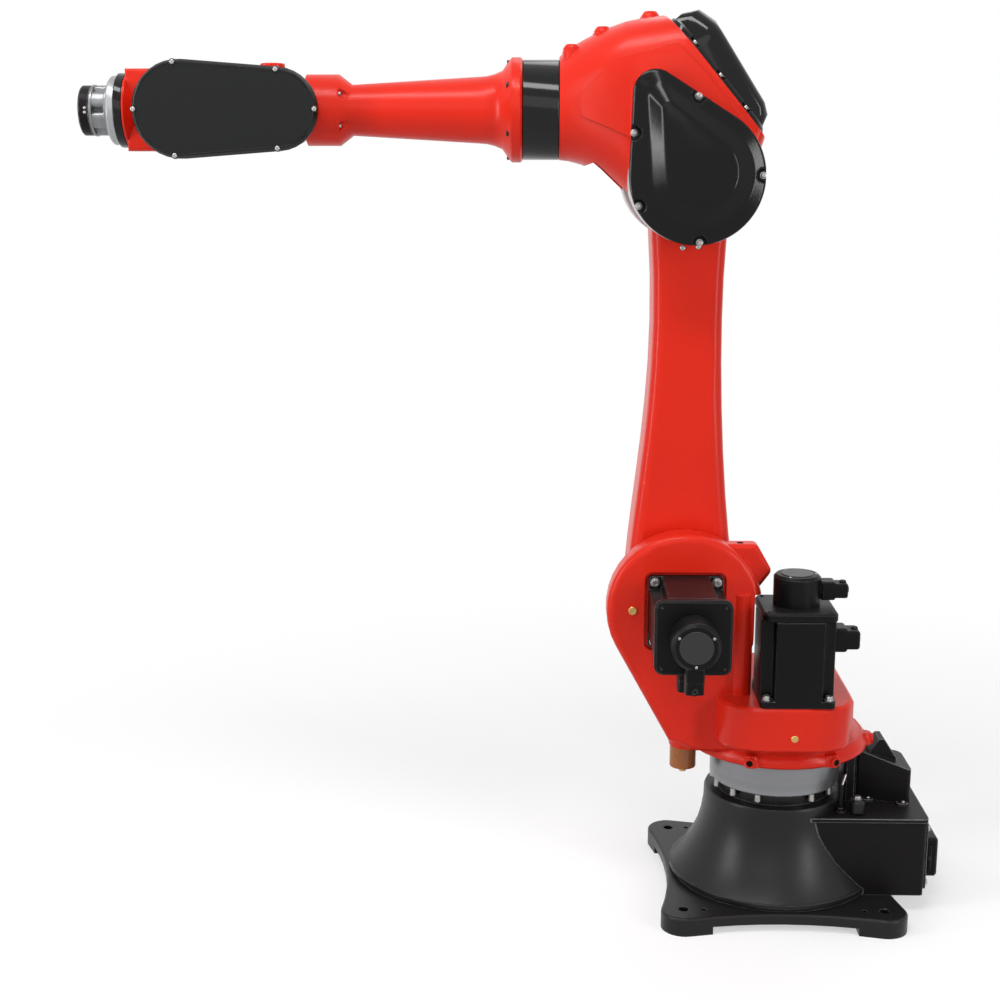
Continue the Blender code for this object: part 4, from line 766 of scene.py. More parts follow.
@dataclass
class Base:
    """Cast foot, turning gear, connector box and what is screwed to them."""

    workshop: Workshop
    gear_screw: float = 0.0052
    gear_screw_length: float = 0.0115
    gear_screw_circle: float = 0.0942
    gear_screw_places: int = 14
    gear_screw_start_deg: float = 16.0
    gear_screw_gaps: tuple[int, int] = (3, 10)
    panel_screw: float = 0.0042
    hood_screw: float = 0.00336
    panel_inset: float = 0.010
    lever_width: float = 0.006
    lever_height_share: float = 0.64
    tab_half: float = 0.009
    tab_thick: float = 0.004
    tab_bevel: float = 0.001
    tab_top_share: float = 0.94
    tab_overhang: float = 0.0018
    tab_screw: float = 0.003
    front_tab_share: float = 0.58
    post_place: tuple[float, float] = (-0.093, 0.070)
    post_radius: float = 0.0042
    post_top: float = 0.196
    pin_lean: tuple[float, float, float] = (-0.34, -0.34, 0.9)
    inner_wall_x: tuple[float, float] = (-0.1240, -0.1040)
    inner_wall_half: float = 0.030
    inner_wall_top: float = 0.2385
    inner_wall_corner: float = 0.004
    inner_wall_bevel: float = 0.0015
    inner_wall_sink: float = 0.0005

    def build(self) -> None:
        """Dresses the nodes and adds the fittings."""
        self.workshop.dress(CAST_BLACK, "base_casting", "stop_block")
        self.workshop.dress(SHEET_BLACK, "connector_box", "connector_panel", "cable_housing", "cable_lid")
        self.workshop.dress(CASING, "connector_hood")
        self.workshop.dress(STEEL_Z, "turning_gear")
        self.build_gear_screws()
        self.build_panel_screws()
        self.build_hood_levers()
        self.build_housing_feet()
        self.build_stop_fittings()
        self.build_inner_wall()

    def build_gear_screws(self) -> None:
        """Screws whose heads hang under the turning gear, in two groups."""
        shape = Shape("turning_gear_screws")
        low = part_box("turning_gear")[0].z
        radius = self.gear_screw
        seat, neck = radius * 0.5, radius * 0.9
        collar = self.gear_screw_length - seat
        ring = circle_points(self.gear_screw_circle, self.gear_screw_places, self.gear_screw_start_deg)
        for index, (x, y) in enumerate(ring):
            if index not in self.gear_screw_gaps:
                place = Place(Vector((x, y, low)), -Z_AXIS)
                shape.turn(place, [(neck, 0.0), (neck, collar)])
                shape.screw(Screw.SOCKET, place.moved(0, 0, collar - seat), radius)
        shape.finish("base", ZINC, self.workshop)

    def build_panel_screws(self) -> None:
        """Screws in the panel behind the box, and smaller ones beside the plug in it."""
        shape = Shape("connector_panel_screws")
        inset = self.panel_inset
        low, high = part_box("connector_panel")
        plug_low, plug_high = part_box("connector_hood")
        for columns, rows, radius in (
                ((low.y + inset, 0.0, high.y - inset), (low.z + inset, high.z - inset), self.panel_screw),
                ((plug_low.y - inset, plug_high.y + inset), (plug_low.z + inset, plug_high.z - inset),
                 self.hood_screw)):
            for y in columns:
                for z in rows:
                    shape.screw(Screw.SOCKET, Place(Vector((low.x, y, z)), -X_AXIS), radius)
        shape.finish("base", ZINC, self.workshop)

    def build_hood_levers(self) -> None:
        """A locking lever over each end of the plug in the panel."""
        shape = Shape("connector_hood_levers")
        low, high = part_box("connector_hood")
        middle = (low + high) / 2
        width = self.lever_width
        outline = rounded_box(width / 2, (high.z - low.z) * self.lever_height_share / 2, width / 3)
        for y, out in ((low.y, -Y_AXIS), (high.y, Y_AXIS)):
            place = Place(Vector((middle.x, y, middle.z)), out)
            shape.prism(place, outline, [(-width / 3, 1.0), (width / 3, 1.0), (width / 2, 0.9)])
            shape.screw(Screw.PLUG, place.moved(0, 0, width / 2), width / 2.4)
        shape.finish("base", CASING, self.workshop)

    def build_housing_feet(self) -> None:
        """Small screwed tabs at the foot of the cable housing."""
        tabs = Shape("cable_housing_tabs")
        screws = Shape("cable_housing_screws")
        low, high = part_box("cable_housing")
        half, thick = self.tab_half, self.tab_thick
        levels = [(0.0, 1.0), (thick - self.tab_bevel, 1.0), (thick, self.tab_top_share)]
        for x, share in ((low.x + half * 1.5, 1.0), (high.x - half * 2, self.front_tab_share)):
            for side in (-1, 1):
                place = Place(Vector((x, side * (high.y * share + self.tab_overhang), low.z)), Z_AXIS)
                tabs.prism(place, rounded_box(half, half, half / 2), levels)
                screws.screw(Screw.BUTTON, place.moved(0, -side * self.tab_overhang, thick), self.tab_screw)
        tabs.finish("base", SHEET_BLACK, self.workshop)
        screws.finish("base", ZINC, self.workshop)

    def build_stop_fittings(self) -> None:
        """A spring post with a slanted pin, and the set screw on the stop block."""
        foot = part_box("connector_box")[1].z
        radius = self.post_radius
        tall = self.post_top - foot
        post = Shape("stop_spring_post")
        place = Place(Vector((*self.post_place, foot)), Z_AXIS)
        post.screw(Screw.HEX, place, radius * 1.5)
        post.turn(place, [(radius, 0.0), (radius, tall - radius), (radius * 0.7, tall)])
        post.finish("base", CASING, self.workshop)
        pin = Shape("stop_spring_pin")
        pin.turn(Place(place.point(0, 0, tall - radius), Vector(self.pin_lean).normalized()),
                 [(radius * 0.45, 0.0), (radius * 0.45, radius * 4.6), (radius * 0.3, radius * 5.0)], 12)
        pin.finish("base", ZINC, self.workshop)
        low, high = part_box("stop_block")
        middle = (low + high) / 2
        screw = Shape("stop_block_screw")
        screw.screw(Screw.HEX, Place(Vector((middle.x, middle.y, high.z)), Z_AXIS), radius * 1.2)
        screw.finish("base", ZINC, self.workshop)

    def build_inner_wall(self) -> None:
        """The cable housing's inner wall, which closes the gap beside the gear unit."""
        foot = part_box("connector_box")[1].z
        top, bevel = self.inner_wall_top, self.inner_wall_bevel
        far, near = self.inner_wall_x
        rings = []
        for inset, z in ((0.0, foot - self.inner_wall_sink), (0.0, top - bevel), (bevel, top)):
            outline = rounded_box((near - far) / 2 - inset, self.inner_wall_half - inset,
                                  self.inner_wall_corner, 1)
            rings.append([Vector(((near + far) / 2 + u, v, z)) for u, v in outline])
        wall = Shape("cable_housing_inner_wall")
        wall.skin(rings)
        wall.finish("base", SHEET_BLACK, self.workshop)


@dataclass
class Motor:
    """One servo motor's fasteners. It stands on its flange along out, with its plugs on plug_side."""

    workshop: Workshop
    name: str
    out: Vector
    plug_side: Vector
    flange_half: float = 0.054
    flange_thick: float = 0.0102
    screw: float = 0.0055
    screw_inset: float = 0.009
    washer: float = 0.0012
    washer_bevel: float = 0.0002
    # Radii of a washer's foot and top as shares of its screw's
    washer_shares: tuple[float, float] = (1.3, 0.9)
    cap_screw: float = 0.0033
    cap_screw_inset: float = 0.0099
    cap_screw_sink: float = 0.0004
    end_disc: Outline = ((0.0235, -0.0005), (0.0235, 0.0006), (0.0229, 0.0011))
    end_screw: float = 0.0021
    end_screw_circle: float = 0.0272
    end_screw_sink: float = 0.0002
    plug_head_share: float = 0.72
    plug_nut_share: float = 0.33
    plug_nut_sink: float = 0.001
    plug_nut: Outline = (
        (0.0052, 0.0), (0.0052, 0.0035), (0.0040, 0.0046), (0.0024, 0.0046), (0.0024, 0.0030))
    plug_mouth: Outline = (
        (0.0062, -0.002), (0.0062, 0.0012), (0.0050, 0.0022), (0.0036, 0.0022), (0.0036, 0.0004))

    def build(self) -> None:
        """Dresses the motor and adds its screws."""
        parts = [self.name + tail for tail in ("_motor", "_encoder", "_signal_plug", "_power_plug")]
        self.workshop.dress(CASING, *parts)
        low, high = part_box(self.name + "_motor")
        length = (high - low).dot(self.out)
        place = Place((low + high) / 2 - self.out * (length / 2), self.out)
        self.build_flange_screws(place)
        self.build_cap_screws(place.moved(0, 0, length - self.cap_screw_sink))
        self.build_encoder_end()
        self.build_plug_clips()

    def build_flange_screws(self, place: Place) -> None:
        """Four screws with washers in the corners of the flange.

        Args:
            place: middle of the motor's seat, facing out.
        """
        shape = Shape(self.name + "_motor_flange_screws")
        wide, narrow = (self.screw * share for share in self.washer_shares)
        for u, v in corners(self.flange_half - self.screw_inset):
            seat = place.moved(u, v, self.flange_thick)
            shape.turn(seat, [(wide, 0.0), (wide, self.washer), (narrow, self.washer + self.washer_bevel)])
            shape.screw(Screw.SOCKET, seat.moved(0, 0, self.washer), self.screw)
        shape.finish("turret", ZINC, self.workshop)

    def build_cap_screws(self, place: Place) -> None:
        """Four small screws in the rear cap.

        Args:
            place: middle of the cap, facing out.
        """
        shape = Shape(self.name + "_motor_cap_screws")
        for u, v in corners(self.flange_half - self.cap_screw_inset):
            shape.screw(Screw.BUTTON, place.moved(u, v, 0), self.cap_screw)
        shape.finish("turret", CASING, self.workshop)

    def build_encoder_end(self) -> None:
        """A disc on the encoder's end, with its screws; its paler grey is a painted reflection of the light
        from above.
        """
        low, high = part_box(self.name + "_encoder")
        end = Place((low + high) / 2 + self.out * ((high - low).dot(self.out) / 2), self.out)
        disc = Shape(self.name + "_encoder_end_disc")
        disc.turn(end, self.end_disc, 48)
        disc.finish("turret", ENCODER_END_PAINTED_SHEEN, self.workshop)
        screws = Shape(self.name + "_encoder_screws")
        for u, v in circle_points(self.end_screw_circle, 3, 30.0):
            screws.screw(Screw.BUTTON, end.moved(u, v, -self.end_screw_sink), self.end_screw)
        screws.finish("turret", ZINC, self.workshop)

    def build_plug_clips(self) -> None:
        """A round thumb nut on each plug's head, and the collar round its mouth."""
        shape = Shape(self.name + "_plug_clips")
        for tail in ("_signal_plug", "_power_plug"):
            low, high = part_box(self.name + tail)
            middle = (low + high) / 2
            length = abs((high - low).dot(self.plug_side))
            rise = (high - low).dot(self.out) / 2 * self.plug_head_share - self.plug_nut_sink
            head = middle + self.plug_side * (length * self.plug_nut_share) + self.out * rise
            shape.turn(Place(head, self.out), self.plug_nut)
            shape.turn(Place(middle + self.plug_side * (length / 2), self.plug_side), self.plug_mouth)
        shape.finish("turret", CASING, self.workshop)


@dataclass
class Turret:
    """Turning casting with its ear, motors and rubber stop."""

    workshop: Workshop
    lug_count: int = 7
    lug_start_deg: float = 16.0
    lug_reach: float = 0.1478
    lug_height: float = 0.2548
    lug_hole: float = 0.0048
    lug_collar_share: float = 1.7
    lug_collar_sink: float = 0.006
    lug_collar_rise: float = 0.0012
    lug_collar_bevel: float = 0.0010
    lug_hole_rise: float = 0.0014
    block_hole: tuple[float, float, float] = (0.074, 0.078, 0.5760)
    deck_plug: tuple[float, float, float] = (-0.002, 0.1721, 0.3066)
    deck_plug_radius: float = 0.0052
    ear_plug: tuple[float, float, float] = (0.232, 0.1101, 0.480)
    ear_plug_radius: float = 0.0062

    def build(self) -> None:
        """Dresses the nodes and adds the fittings."""
        self.workshop.dress(RED, "turret_casting")
        self.workshop.dress(AMBER, "turn_bumper")
        self.workshop.dress(BRASS, "turn_bumper_bolt")
        Motor(self.workshop, "turn", Z_AXIS, -X_AXIS).build()
        Motor(self.workshop, "shoulder", Y_AXIS, -Z_AXIS).build()
        self.build_plugs()
        self.build_lug_holes()

    def build_plugs(self) -> None:
        """Drain and grease plugs in the castings' near faces."""
        shape = Shape("turret_oil_plugs")
        shape.screw(Screw.PLUG, Place(Vector(self.deck_plug), Y_AXIS), self.deck_plug_radius)
        shape.screw(Screw.PLUG, Place(Vector(self.ear_plug), Y_AXIS), self.ear_plug_radius)
        shape.finish("turret", BRASS, self.workshop)

    def build_lug_holes(self) -> None:
        """Drilled holes that open outwards in the rim's lugs, and one in the shoulder block's top, as flush
        discs of painted shade.
        """
        collars = Shape("turret_lug_collars")
        bores = Shape("turret_lug_bores")
        ring, rise = self.lug_hole * self.lug_collar_share, self.lug_collar_rise
        profile = [(ring, -self.lug_collar_sink), (ring, rise - self.lug_collar_bevel), (ring * 0.86, rise),
                   (ring * 0.5, rise)]
        for x, y in circle_points(1.0, self.lug_count, self.lug_start_deg):
            out = Vector((x, y, 0))
            place = Place(out * self.lug_reach + Z_AXIS * self.lug_height, out)
            collars.turn(place, profile)
            bores.bore(place.moved(0, 0, self.lug_hole_rise), self.lug_hole)
        bores.bore(Place(Vector(self.block_hole), Z_AXIS), self.lug_hole)
        collars.finish("turret", RED, self.workshop)
        bores.finish("turret", BORE_PAINTED_SHADE, self.workshop)


@dataclass
class LowerArm:
    """The long casting between shoulder and elbow."""

    workshop: Workshop
    cap_screws: int = 6
    cap_screw: float = 0.0045
    cap_screw_circle: float = 0.047
    head_screw: float = 0.0042
    head_screw_sink: float = 0.0002
    head_screw_places: Outline = ((0.1665, 1.0040), (0.1440, 1.0055))

    def build(self) -> None:
        """Dresses the nodes and adds the fittings."""
        self.workshop.dress(RED, "lower_arm", "shoulder_hub_cap")
        self.workshop.dress(STEEL_Y, "shoulder_gear_disc", "elbow_gear_disc", "elbow_bearing_disc")
        self.build_hub_screws()
        self.build_head_screws()

    def build_hub_screws(self) -> None:
        """Screws round the hub's cap on the far side."""
        shape = Shape("shoulder_hub_screws")
        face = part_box("shoulder_hub_cap")[0].y
        for u, v in circle_points(self.cap_screw_circle, self.cap_screws, 30.0):
            place = Place(Vector((SHOULDER.x + u, face, SHOULDER.z + v)), -Y_AXIS)
            shape.screw(Screw.SOCKET, place, self.cap_screw)
        shape.finish("lower_arm", ZINC, self.workshop)

    def build_head_screws(self) -> None:
        """Two small screws on the arm's near face, just under the belt cover."""
        shape = Shape("lower_arm_head_screws")
        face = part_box("lower_arm")[1].y
        for x, z in self.head_screw_places:
            place = Place(Vector((x, face - self.head_screw_sink, z)), Y_AXIS)
            shape.screw(Screw.BUTTON, place, self.head_screw)
        shape.finish("lower_arm", ZINC, self.workshop)


@dataclass(frozen=True)
class BeltLevel:
    """One level of a belt cover: its two circles as (X, Z, radius), and how far out it lies."""

    hub: tuple[float, float, float]
    tip: tuple[float, float, float]
    out: float

    def towards(self, other: "BeltLevel", share: float) -> "BeltLevel":
        """The level part of the way to another one.

        Args:
            other: the level to go towards.
            share: 0 for this level and 1 for the other.

        Returns:
            The level between them.
        """
        def mix(a: float, b: float) -> float:
            """The value at the share between two."""
            return a + (b - a) * share

        return BeltLevel(tuple(mix(a, b) for a, b in zip(self.hub, other.hub)),
                         tuple(mix(a, b) for a, b in zip(self.tip, other.tip)), mix(self.out, other.out))

    def ring(self, hub_steps: int, side_steps: int, tip_steps: int) -> Outline:
        """The belt's outline with the same count of points at any size.

        Args:
            hub_steps: steps round the large circle.
            side_steps: steps along each straight side.
            tip_steps: steps round the small circle.

        Returns:
            The points as (X, Z).
        """
        def arc(circle: tuple[float, float, float], start: float, sweep: float, steps: int) -> Outline:
            """Points round a circle.

            Args:
                circle: its middle and radius.
                start: angle of the first point.
                sweep: how far round they go.
                steps: how many steps they take.

            Returns:
                The points.
            """
            x, z, radius = circle
            angles = [start + sweep * index / steps for index in range(steps + 1)]
            return [(x + radius * math.cos(angle), z + radius * math.sin(angle)) for angle in angles]

        def side(start: tuple[float, float], end: tuple[float, float]) -> Outline:
            """Points between two, without either.

            Args:
                start: the point before the first.
                end: the point after the last.

            Returns:
                The points.
            """
            (x, z), (far_x, far_z) = start, end
            shares = [index / side_steps for index in range(1, side_steps)]
            return [(x + (far_x - x) * share, z + (far_z - z) * share) for share in shares]

        (ax, az, ar), (bx, bz, br) = self.hub, self.tip
        heading = math.atan2(bz - az, bx - ax)
        spread = math.acos((ar - br) / math.hypot(bx - ax, bz - az))
        hub = arc(self.hub, heading + spread, 2 * math.pi - 2 * spread, hub_steps)
        tip = arc(self.tip, heading - spread, 2 * spread, tip_steps)
        return hub + side(hub[-1], tip[0]) + tip + side(tip[-1], hub[0])


@dataclass
class Elbow:
    """Elbow casting with its belt cover, rear cover, side cap and roll ring."""

    workshop: Workshop
    cover_screw: float = 0.0036
    washer: float = 0.0010
    washer_bevel: float = 0.0003
    # Radii of a washer's foot and top as shares of its screw's
    washer_shares: tuple[float, float] = (1.35, 1.2)
    cover_screw_rise: float = 0.0011
    cap_screws: int = 8
    cap_screw_circle: float = 0.068
    scallop_floor: float = 0.1303
    scallops: Outline = ((0.2430, 1.1631), (0.2354, 1.0645), (0.1560, 1.2120),
                         (0.0650, 1.1063), (0.1498, 1.0151))
    scallop_flat: float = 0.0074
    scallop_mouth: float = 0.0108
    # Each level with the count of steps up to the next
    belt_levels: tuple[tuple[BeltLevel, int], ...] = (
        (BeltLevel((0.1550, 1.1050, 0.0940), (0.2145, 1.2175, 0.0305), 0.1253), 5),
        (BeltLevel((0.1550, 1.1050, 0.0940), (0.2145, 1.2175, 0.0305), 0.1330), 2),
        (BeltLevel((0.1550, 1.1050, 0.0932), (0.2145, 1.2175, 0.0297), 0.1352), 2),
        (BeltLevel((0.1550, 1.1050, 0.0912), (0.2145, 1.2175, 0.0277), 0.1366), 15),
        (BeltLevel((0.1505, 1.1075, 0.0730), (0.2105, 1.2150, 0.0190), 0.1415), 3),
        (BeltLevel((0.1500, 1.1080, 0.0690), (0.2090, 1.2130, 0.0165), 0.1435), 8),
        (BeltLevel((0.1490, 1.1098, 0.0490), (0.1985, 1.1960, 0.0100), 0.1572), 3),
        (BeltLevel((0.1490, 1.1100, 0.0460), (0.1980, 1.1950, 0.0085), 0.1586), 2),
        (BeltLevel((0.1490, 1.1100, 0.0430), (0.1975, 1.1940, 0.0065), 0.1591), 0),
    )
    hub_steps: int = 250
    side_steps: int = 70
    tip_steps: int = 48
    rear_scallops: Outline = ((0.0871, 1.1971), (0.1235, 1.2408), (0.1599, 1.2844))
    rear_half_width: float = 0.085
    slope_out: tuple[float, float, float] = (-0.7682, 0.0, 0.6402)
    # Each rim's side and radius
    gear_rims: Outline = ((1, 0.0943), (-1, 0.0952))
    gear_rim_near: float = 0.0578
    gear_rim_far: float = 0.1225
    gear_rim_hole: float = 0.0700
    gear_rim_hole_depth: float = 0.0025
    gear_rim_seat: float = 0.0900
    gear_rim_draft: float = 0.0004
    gear_rim_bevel: float = 0.0010
    bosses: Outline = ((0.3270, 1.2864), (0.2835, 1.3103), (0.2174, 1.3308))
    boss_y: float = 0.034

    def build(self) -> None:
        """Dresses the nodes and adds the fittings."""
        self.workshop.dress(RED, "elbow_housing")
        self.workshop.dress(SATIN, "elbow_side_cap")
        self.workshop.dress(GLOSS, "rear_cover", "roll_ring")
        self.build_belt_cover()
        self.build_cover_screws()
        self.build_rear_screws()
        self.build_side_cap_screws()
        self.build_gear_ring()
        self.build_boss_holes()

    def cover_height(self, x: float, z: float, out: float) -> float:
        """How far out the cover's face lies once the screws' scallops are cut into it.

        Args:
            x: place along X.
            z: place along Z.
            out: the face's plain height there.

        Returns:
            The height with any scallop.
        """
        floor, slope = self.scallop_floor, self.scallop_mouth - self.scallop_flat
        if out <= floor:
            return out
        for spot_x, spot_z in self.scallops:
            reach = math.hypot(x - spot_x, z - spot_z)
            share = min(1.0, max(0.0, (reach - self.scallop_flat) / slope))
            out = min(out, floor + (out - floor) * share * share * (3.0 - 2.0 * share))
        return out

    def build_belt_cover(self) -> None:
        """The moulded belt cover: a wide sloped band, a raised drop-shaped middle and cut scallops."""
        shape = Shape("elbow_belt_cover_moulding")
        levels = []
        for (level, steps), (after, _) in zip(self.belt_levels, self.belt_levels[1:]):
            levels.extend(level.towards(after, step / steps) for step in range(steps))
        levels.append(self.belt_levels[-1][0])
        shape.skin([[Vector((x, self.cover_height(x, z, level.out), z))
                     for x, z in level.ring(self.hub_steps, self.side_steps, self.tip_steps)]
                    for level in levels])
        piece = shape.finish("elbow", COVER, self.workshop)
        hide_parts("elbow_belt_cover")

    def build_cover_screws(self) -> None:
        """A screw with a washer in each scallop of the belt cover's rim."""
        shape = Shape("elbow_cover_screws")
        wide, narrow = (self.cover_screw * share for share in self.washer_shares)
        for x, z in self.scallops:
            place = Place(Vector((x, self.scallop_floor, z)), Y_AXIS)
            shape.turn(place, [(wide, 0.0), (wide, self.washer), (narrow, self.washer + self.washer_bevel)])
            shape.screw(Screw.BUTTON, place.moved(0, 0, self.cover_screw_rise), self.cover_screw)
        shape.finish("elbow", ZINC, self.workshop)

    def build_rear_screws(self) -> None:
        """Screws in the scallops down both sides of the rear cover."""
        shape = Shape("rear_cover_screws")
        for x, z in self.rear_scallops:
            for side in (-1, 1):
                place = Place(Vector((x, side * self.rear_half_width, z)), Vector(self.slope_out))
                shape.screw(Screw.SOCKET, place, self.cover_screw)
        shape.finish("elbow", ZINC, self.workshop)

    def build_gear_ring(self) -> None:
        """The rims of the gear unit, which show under and beside the belt cover; their near-white colour is
        partly pale metal and partly painted highlight.
        """
        shape = Shape("elbow_gear_ring")
        near, far, hole = self.gear_rim_near, self.gear_rim_far, self.gear_rim_hole
        draft, bevel = self.gear_rim_draft, self.gear_rim_bevel
        for side, rim in self.gear_rims:
            place = Place(Vector((ELBOW.x, 0.0, ELBOW.z)), Y_AXIS * side)
            shape.turn(place, [
                (hole, near + self.gear_rim_hole_depth), (hole, near), (rim - draft, near),
                (rim, near + bevel), (rim, far - bevel), (rim - draft, far), (self.gear_rim_seat, far)], 96)
        shape.finish("elbow", ALLOY_Y_PAINTED_HIGHLIGHT, self.workshop)

    def build_boss_holes(self) -> None:
        """Tapped holes in the bosses along the housing's top, as flush discs of painted shade."""
        shape = Shape("elbow_boss_bores")
        for x, z in self.bosses:
            for side in (-1, 1):
                shape.bore(Place(Vector((x, side * self.boss_y, z)), Z_AXIS), self.cover_screw)
        shape.finish("elbow", BORE_PAINTED_SHADE, self.workshop)

    def build_side_cap_screws(self) -> None:
        """Screws round the plain cap on the far side."""
        shape = Shape("elbow_side_cap_screws")
        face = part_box("elbow_side_cap")[0].y
        for u, v in circle_points(self.cap_screw_circle, self.cap_screws, 22.5):
            place = Place(Vector((ELBOW.x + u, face, ELBOW.z + v)), -Y_AXIS)
            shape.screw(Screw.BUTTON, place, self.cover_screw)
        shape.finish("elbow", ZINC, self.workshop)


@dataclass
class Forearm:
    """The slim tube with its fork, belt cover and side cap."""

    workshop: Workshop
    flange_screws: int = 6
    flange_screw: float = 0.0046
    flange_screw_circle: float = 0.0655
    flange_thick: float = 0.018
    pocket_screws: int = 6
    pocket_screw: float = 0.00288
    pocket_circle: float = 0.0440
    pocket_floor: float = 0.6577
    belt_run: float = 0.137
    bead_head: float = 0.0655
    bead_tail: float = 0.0549
    bead_sink: float = 0.0035
    # Points across the bead as (inset, rise)
    bead_profile: Outline = (
        (0.0, 0.0), (0.0, 0.003), (0.0012, 0.0042), (0.0030, 0.0042), (0.0042, 0.003), (0.0042, 0.0))
    bead_steps: int = 72
    cover_screw: float = 0.0036
    cover_screw_rise: float = 0.0010
    head_screw_circle: float = 0.0645
    head_screws_deg: tuple[float, ...] = (0.0, 84.0, -83.0)
    tail_screw_circle: float = 0.054
    tail_screws_deg: tuple[float, ...] = (91.0, 180.0, -91.0)
    lug_foot: float = 0.001
    lug_rise: float = 0.0012

    @property
    def belt_tail(self) -> Vector:
        """Middle of the belt cover's narrower end."""
        return WRIST - X_AXIS * self.belt_run

    def build(self) -> None:
        """Dresses the nodes and adds the fittings."""
        self.workshop.dress(RED, "forearm")
        self.workshop.dress(SATIN, "wrist_belt_cover", "wrist_side_cap")
        self.build_flange_screws()
        self.build_pocket_screws()
        self.build_cover_bead()
        self.build_cover_screws()

    def build_flange_screws(self) -> None:
        """Blackened socket screws behind the flange that turns on the roll ring."""
        shape = Shape("forearm_flange_screws")
        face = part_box("forearm")[0].x + self.flange_thick
        for u, v in circle_points(self.flange_screw_circle, self.flange_screws, 30.0):
            shape.screw(Screw.SOCKET, Place(Vector((face, u, WRIST.z + v)), X_AXIS), self.flange_screw)
        shape.finish("forearm", CAST_BLACK, self.workshop)

    def build_pocket_screws(self) -> None:
        """Socket screws in the pockets behind the tube's front flange."""
        shape = Shape("forearm_pocket_screws")
        for u, v in circle_points(self.pocket_circle, self.pocket_screws, 30.0):
            place = Place(Vector((self.pocket_floor, u, WRIST.z + v)), -X_AXIS)
            shape.screw(Screw.SOCKET, place, self.pocket_screw)
        shape.finish("forearm", ZINC, self.workshop)

    def build_cover_bead(self) -> None:
        """The glossy raised bead round the belt cover's face."""
        shape = Shape("wrist_cover_bead")
        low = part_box("wrist_belt_cover")[1].y - self.bead_sink
        rings = []
        for inset, rise in self.bead_profile:
            outline = belt_points(WRIST, self.bead_head - inset, self.belt_tail, self.bead_tail - inset,
                                  self.bead_steps)
            rings.append([Vector((x, low + rise, z)) for x, z in outline])
        shape.skin(rings, closed=True)
        shape.finish("forearm", GLOSS, self.workshop)

    def build_cover_screws(self) -> None:
        """Screws on small lugs round the belt cover's rim."""
        shape = Shape("wrist_cover_screws")
        lugs = Shape("wrist_cover_lugs")
        low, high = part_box("wrist_belt_cover")
        tall = high.y - low.y
        lug = self.cover_screw * 1.35
        for middle, radius, angles in ((WRIST, self.head_screw_circle, self.head_screws_deg),
                                       (self.belt_tail, self.tail_screw_circle, self.tail_screws_deg)):
            for angle in angles:
                u, v = circle_points(radius, 1, angle)[0]
                place = Place(Vector((middle.x + u, low.y, middle.z + v)), Y_AXIS)
                lugs.turn(place, [(lug, self.lug_foot), (lug, tall), (lug * 0.9, tall + self.lug_rise)])
                shape.screw(Screw.BUTTON, place.moved(0, 0, tall + self.cover_screw_rise), self.cover_screw)
        shape.finish("forearm", ZINC, self.workshop)
        lugs.finish("forearm", GLOSS, self.workshop)


@dataclass
class Wrist:
    """Tilting block, seal, collar, lobed gear end and tool flange."""

    workshop: Workshop
    lobes: int = 6
    steps_per_lobe: int = 16
    groove_power: int = 5
    # Rings of the gear's end as shares: along its length, of its radius, and the grooves' depth
    gear_end_shares: tuple[tuple[float, float, float], ...] = (
        (0.0, 0.97, 0.0), (0.03, 1.0, 0.0), (0.16, 1.0, 0.0), (0.19, 0.97, 0.26),
        (0.82, 0.97, 0.26), (0.85, 1.0, 0.0), (0.97, 1.0, 0.0), (1.0, 0.97, 0.0))
    pin_radius: float = 0.0021
    pin_rise: float = 0.0032
    pin_place_share: float = 0.30
    pin_sink: float = 0.0004
    # Rings of a pin's end: the share of its radius, and how far up
    pin_profile: Outline = ((1.0, 0.0), (1.0, 0.0006), (0.7, 0.0009))

    def build(self) -> None:
        """Dresses the nodes and adds the fittings."""
        self.workshop.dress(RED, "wrist_block")
        self.workshop.dress(GLOSS, "wrist_seal")
        self.workshop.dress(ALLOY_X, "wrist_collar")
        self.workshop.dress(SHEET_BLACK, "tool_flange")
        self.build_gear_end()
        self.build_index_marks()

    def build_gear_end(self) -> None:
        """The gear unit's grey end with its rounded lobes, in place of the plain one."""
        shape = Shape("hand_gear_end")
        low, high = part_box("hand_gear")
        radius = (high.z - low.z) / 2
        depth = high.x - low.x
        count = self.lobes * self.steps_per_lobe
        rings = []
        for along, share, hollow in self.gear_end_shares:
            ring = []
            for index in range(count):
                angle = 2 * math.pi * index / count
                groove = (0.5 + 0.5 * math.cos(angle * self.lobes)) ** self.groove_power
                reach = radius * share * (1 - hollow * groove)
                y, rise = reach * math.cos(angle), reach * math.sin(angle)
                ring.append(Vector((low.x + depth * along, y, WRIST.z + rise)))
            rings.append(ring)
        shape.skin(rings)
        piece = shape.finish("wrist", STEEL_X, self.workshop)
        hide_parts("hand_gear")

    def build_index_marks(self) -> None:
        """Two bright dowel ends in the tool flange's rim, by which it is lined up."""
        shape = Shape("tool_flange_index_pins")
        low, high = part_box("tool_flange")
        radius = (high.z - low.z) / 2
        x = low.x + (high.x - low.x) * self.pin_place_share
        for rise in (-self.pin_rise, self.pin_rise):
            out = Vector((0.0, math.sqrt(radius ** 2 - rise ** 2), rise)).normalized()
            place = Place(Vector((x, 0.0, WRIST.z)) + out * (radius - self.pin_sink), out)
            shape.turn(place, [(share * self.pin_radius, up) for share, up in self.pin_profile], 16)
        shape.finish("tool", ZINC, self.workshop)


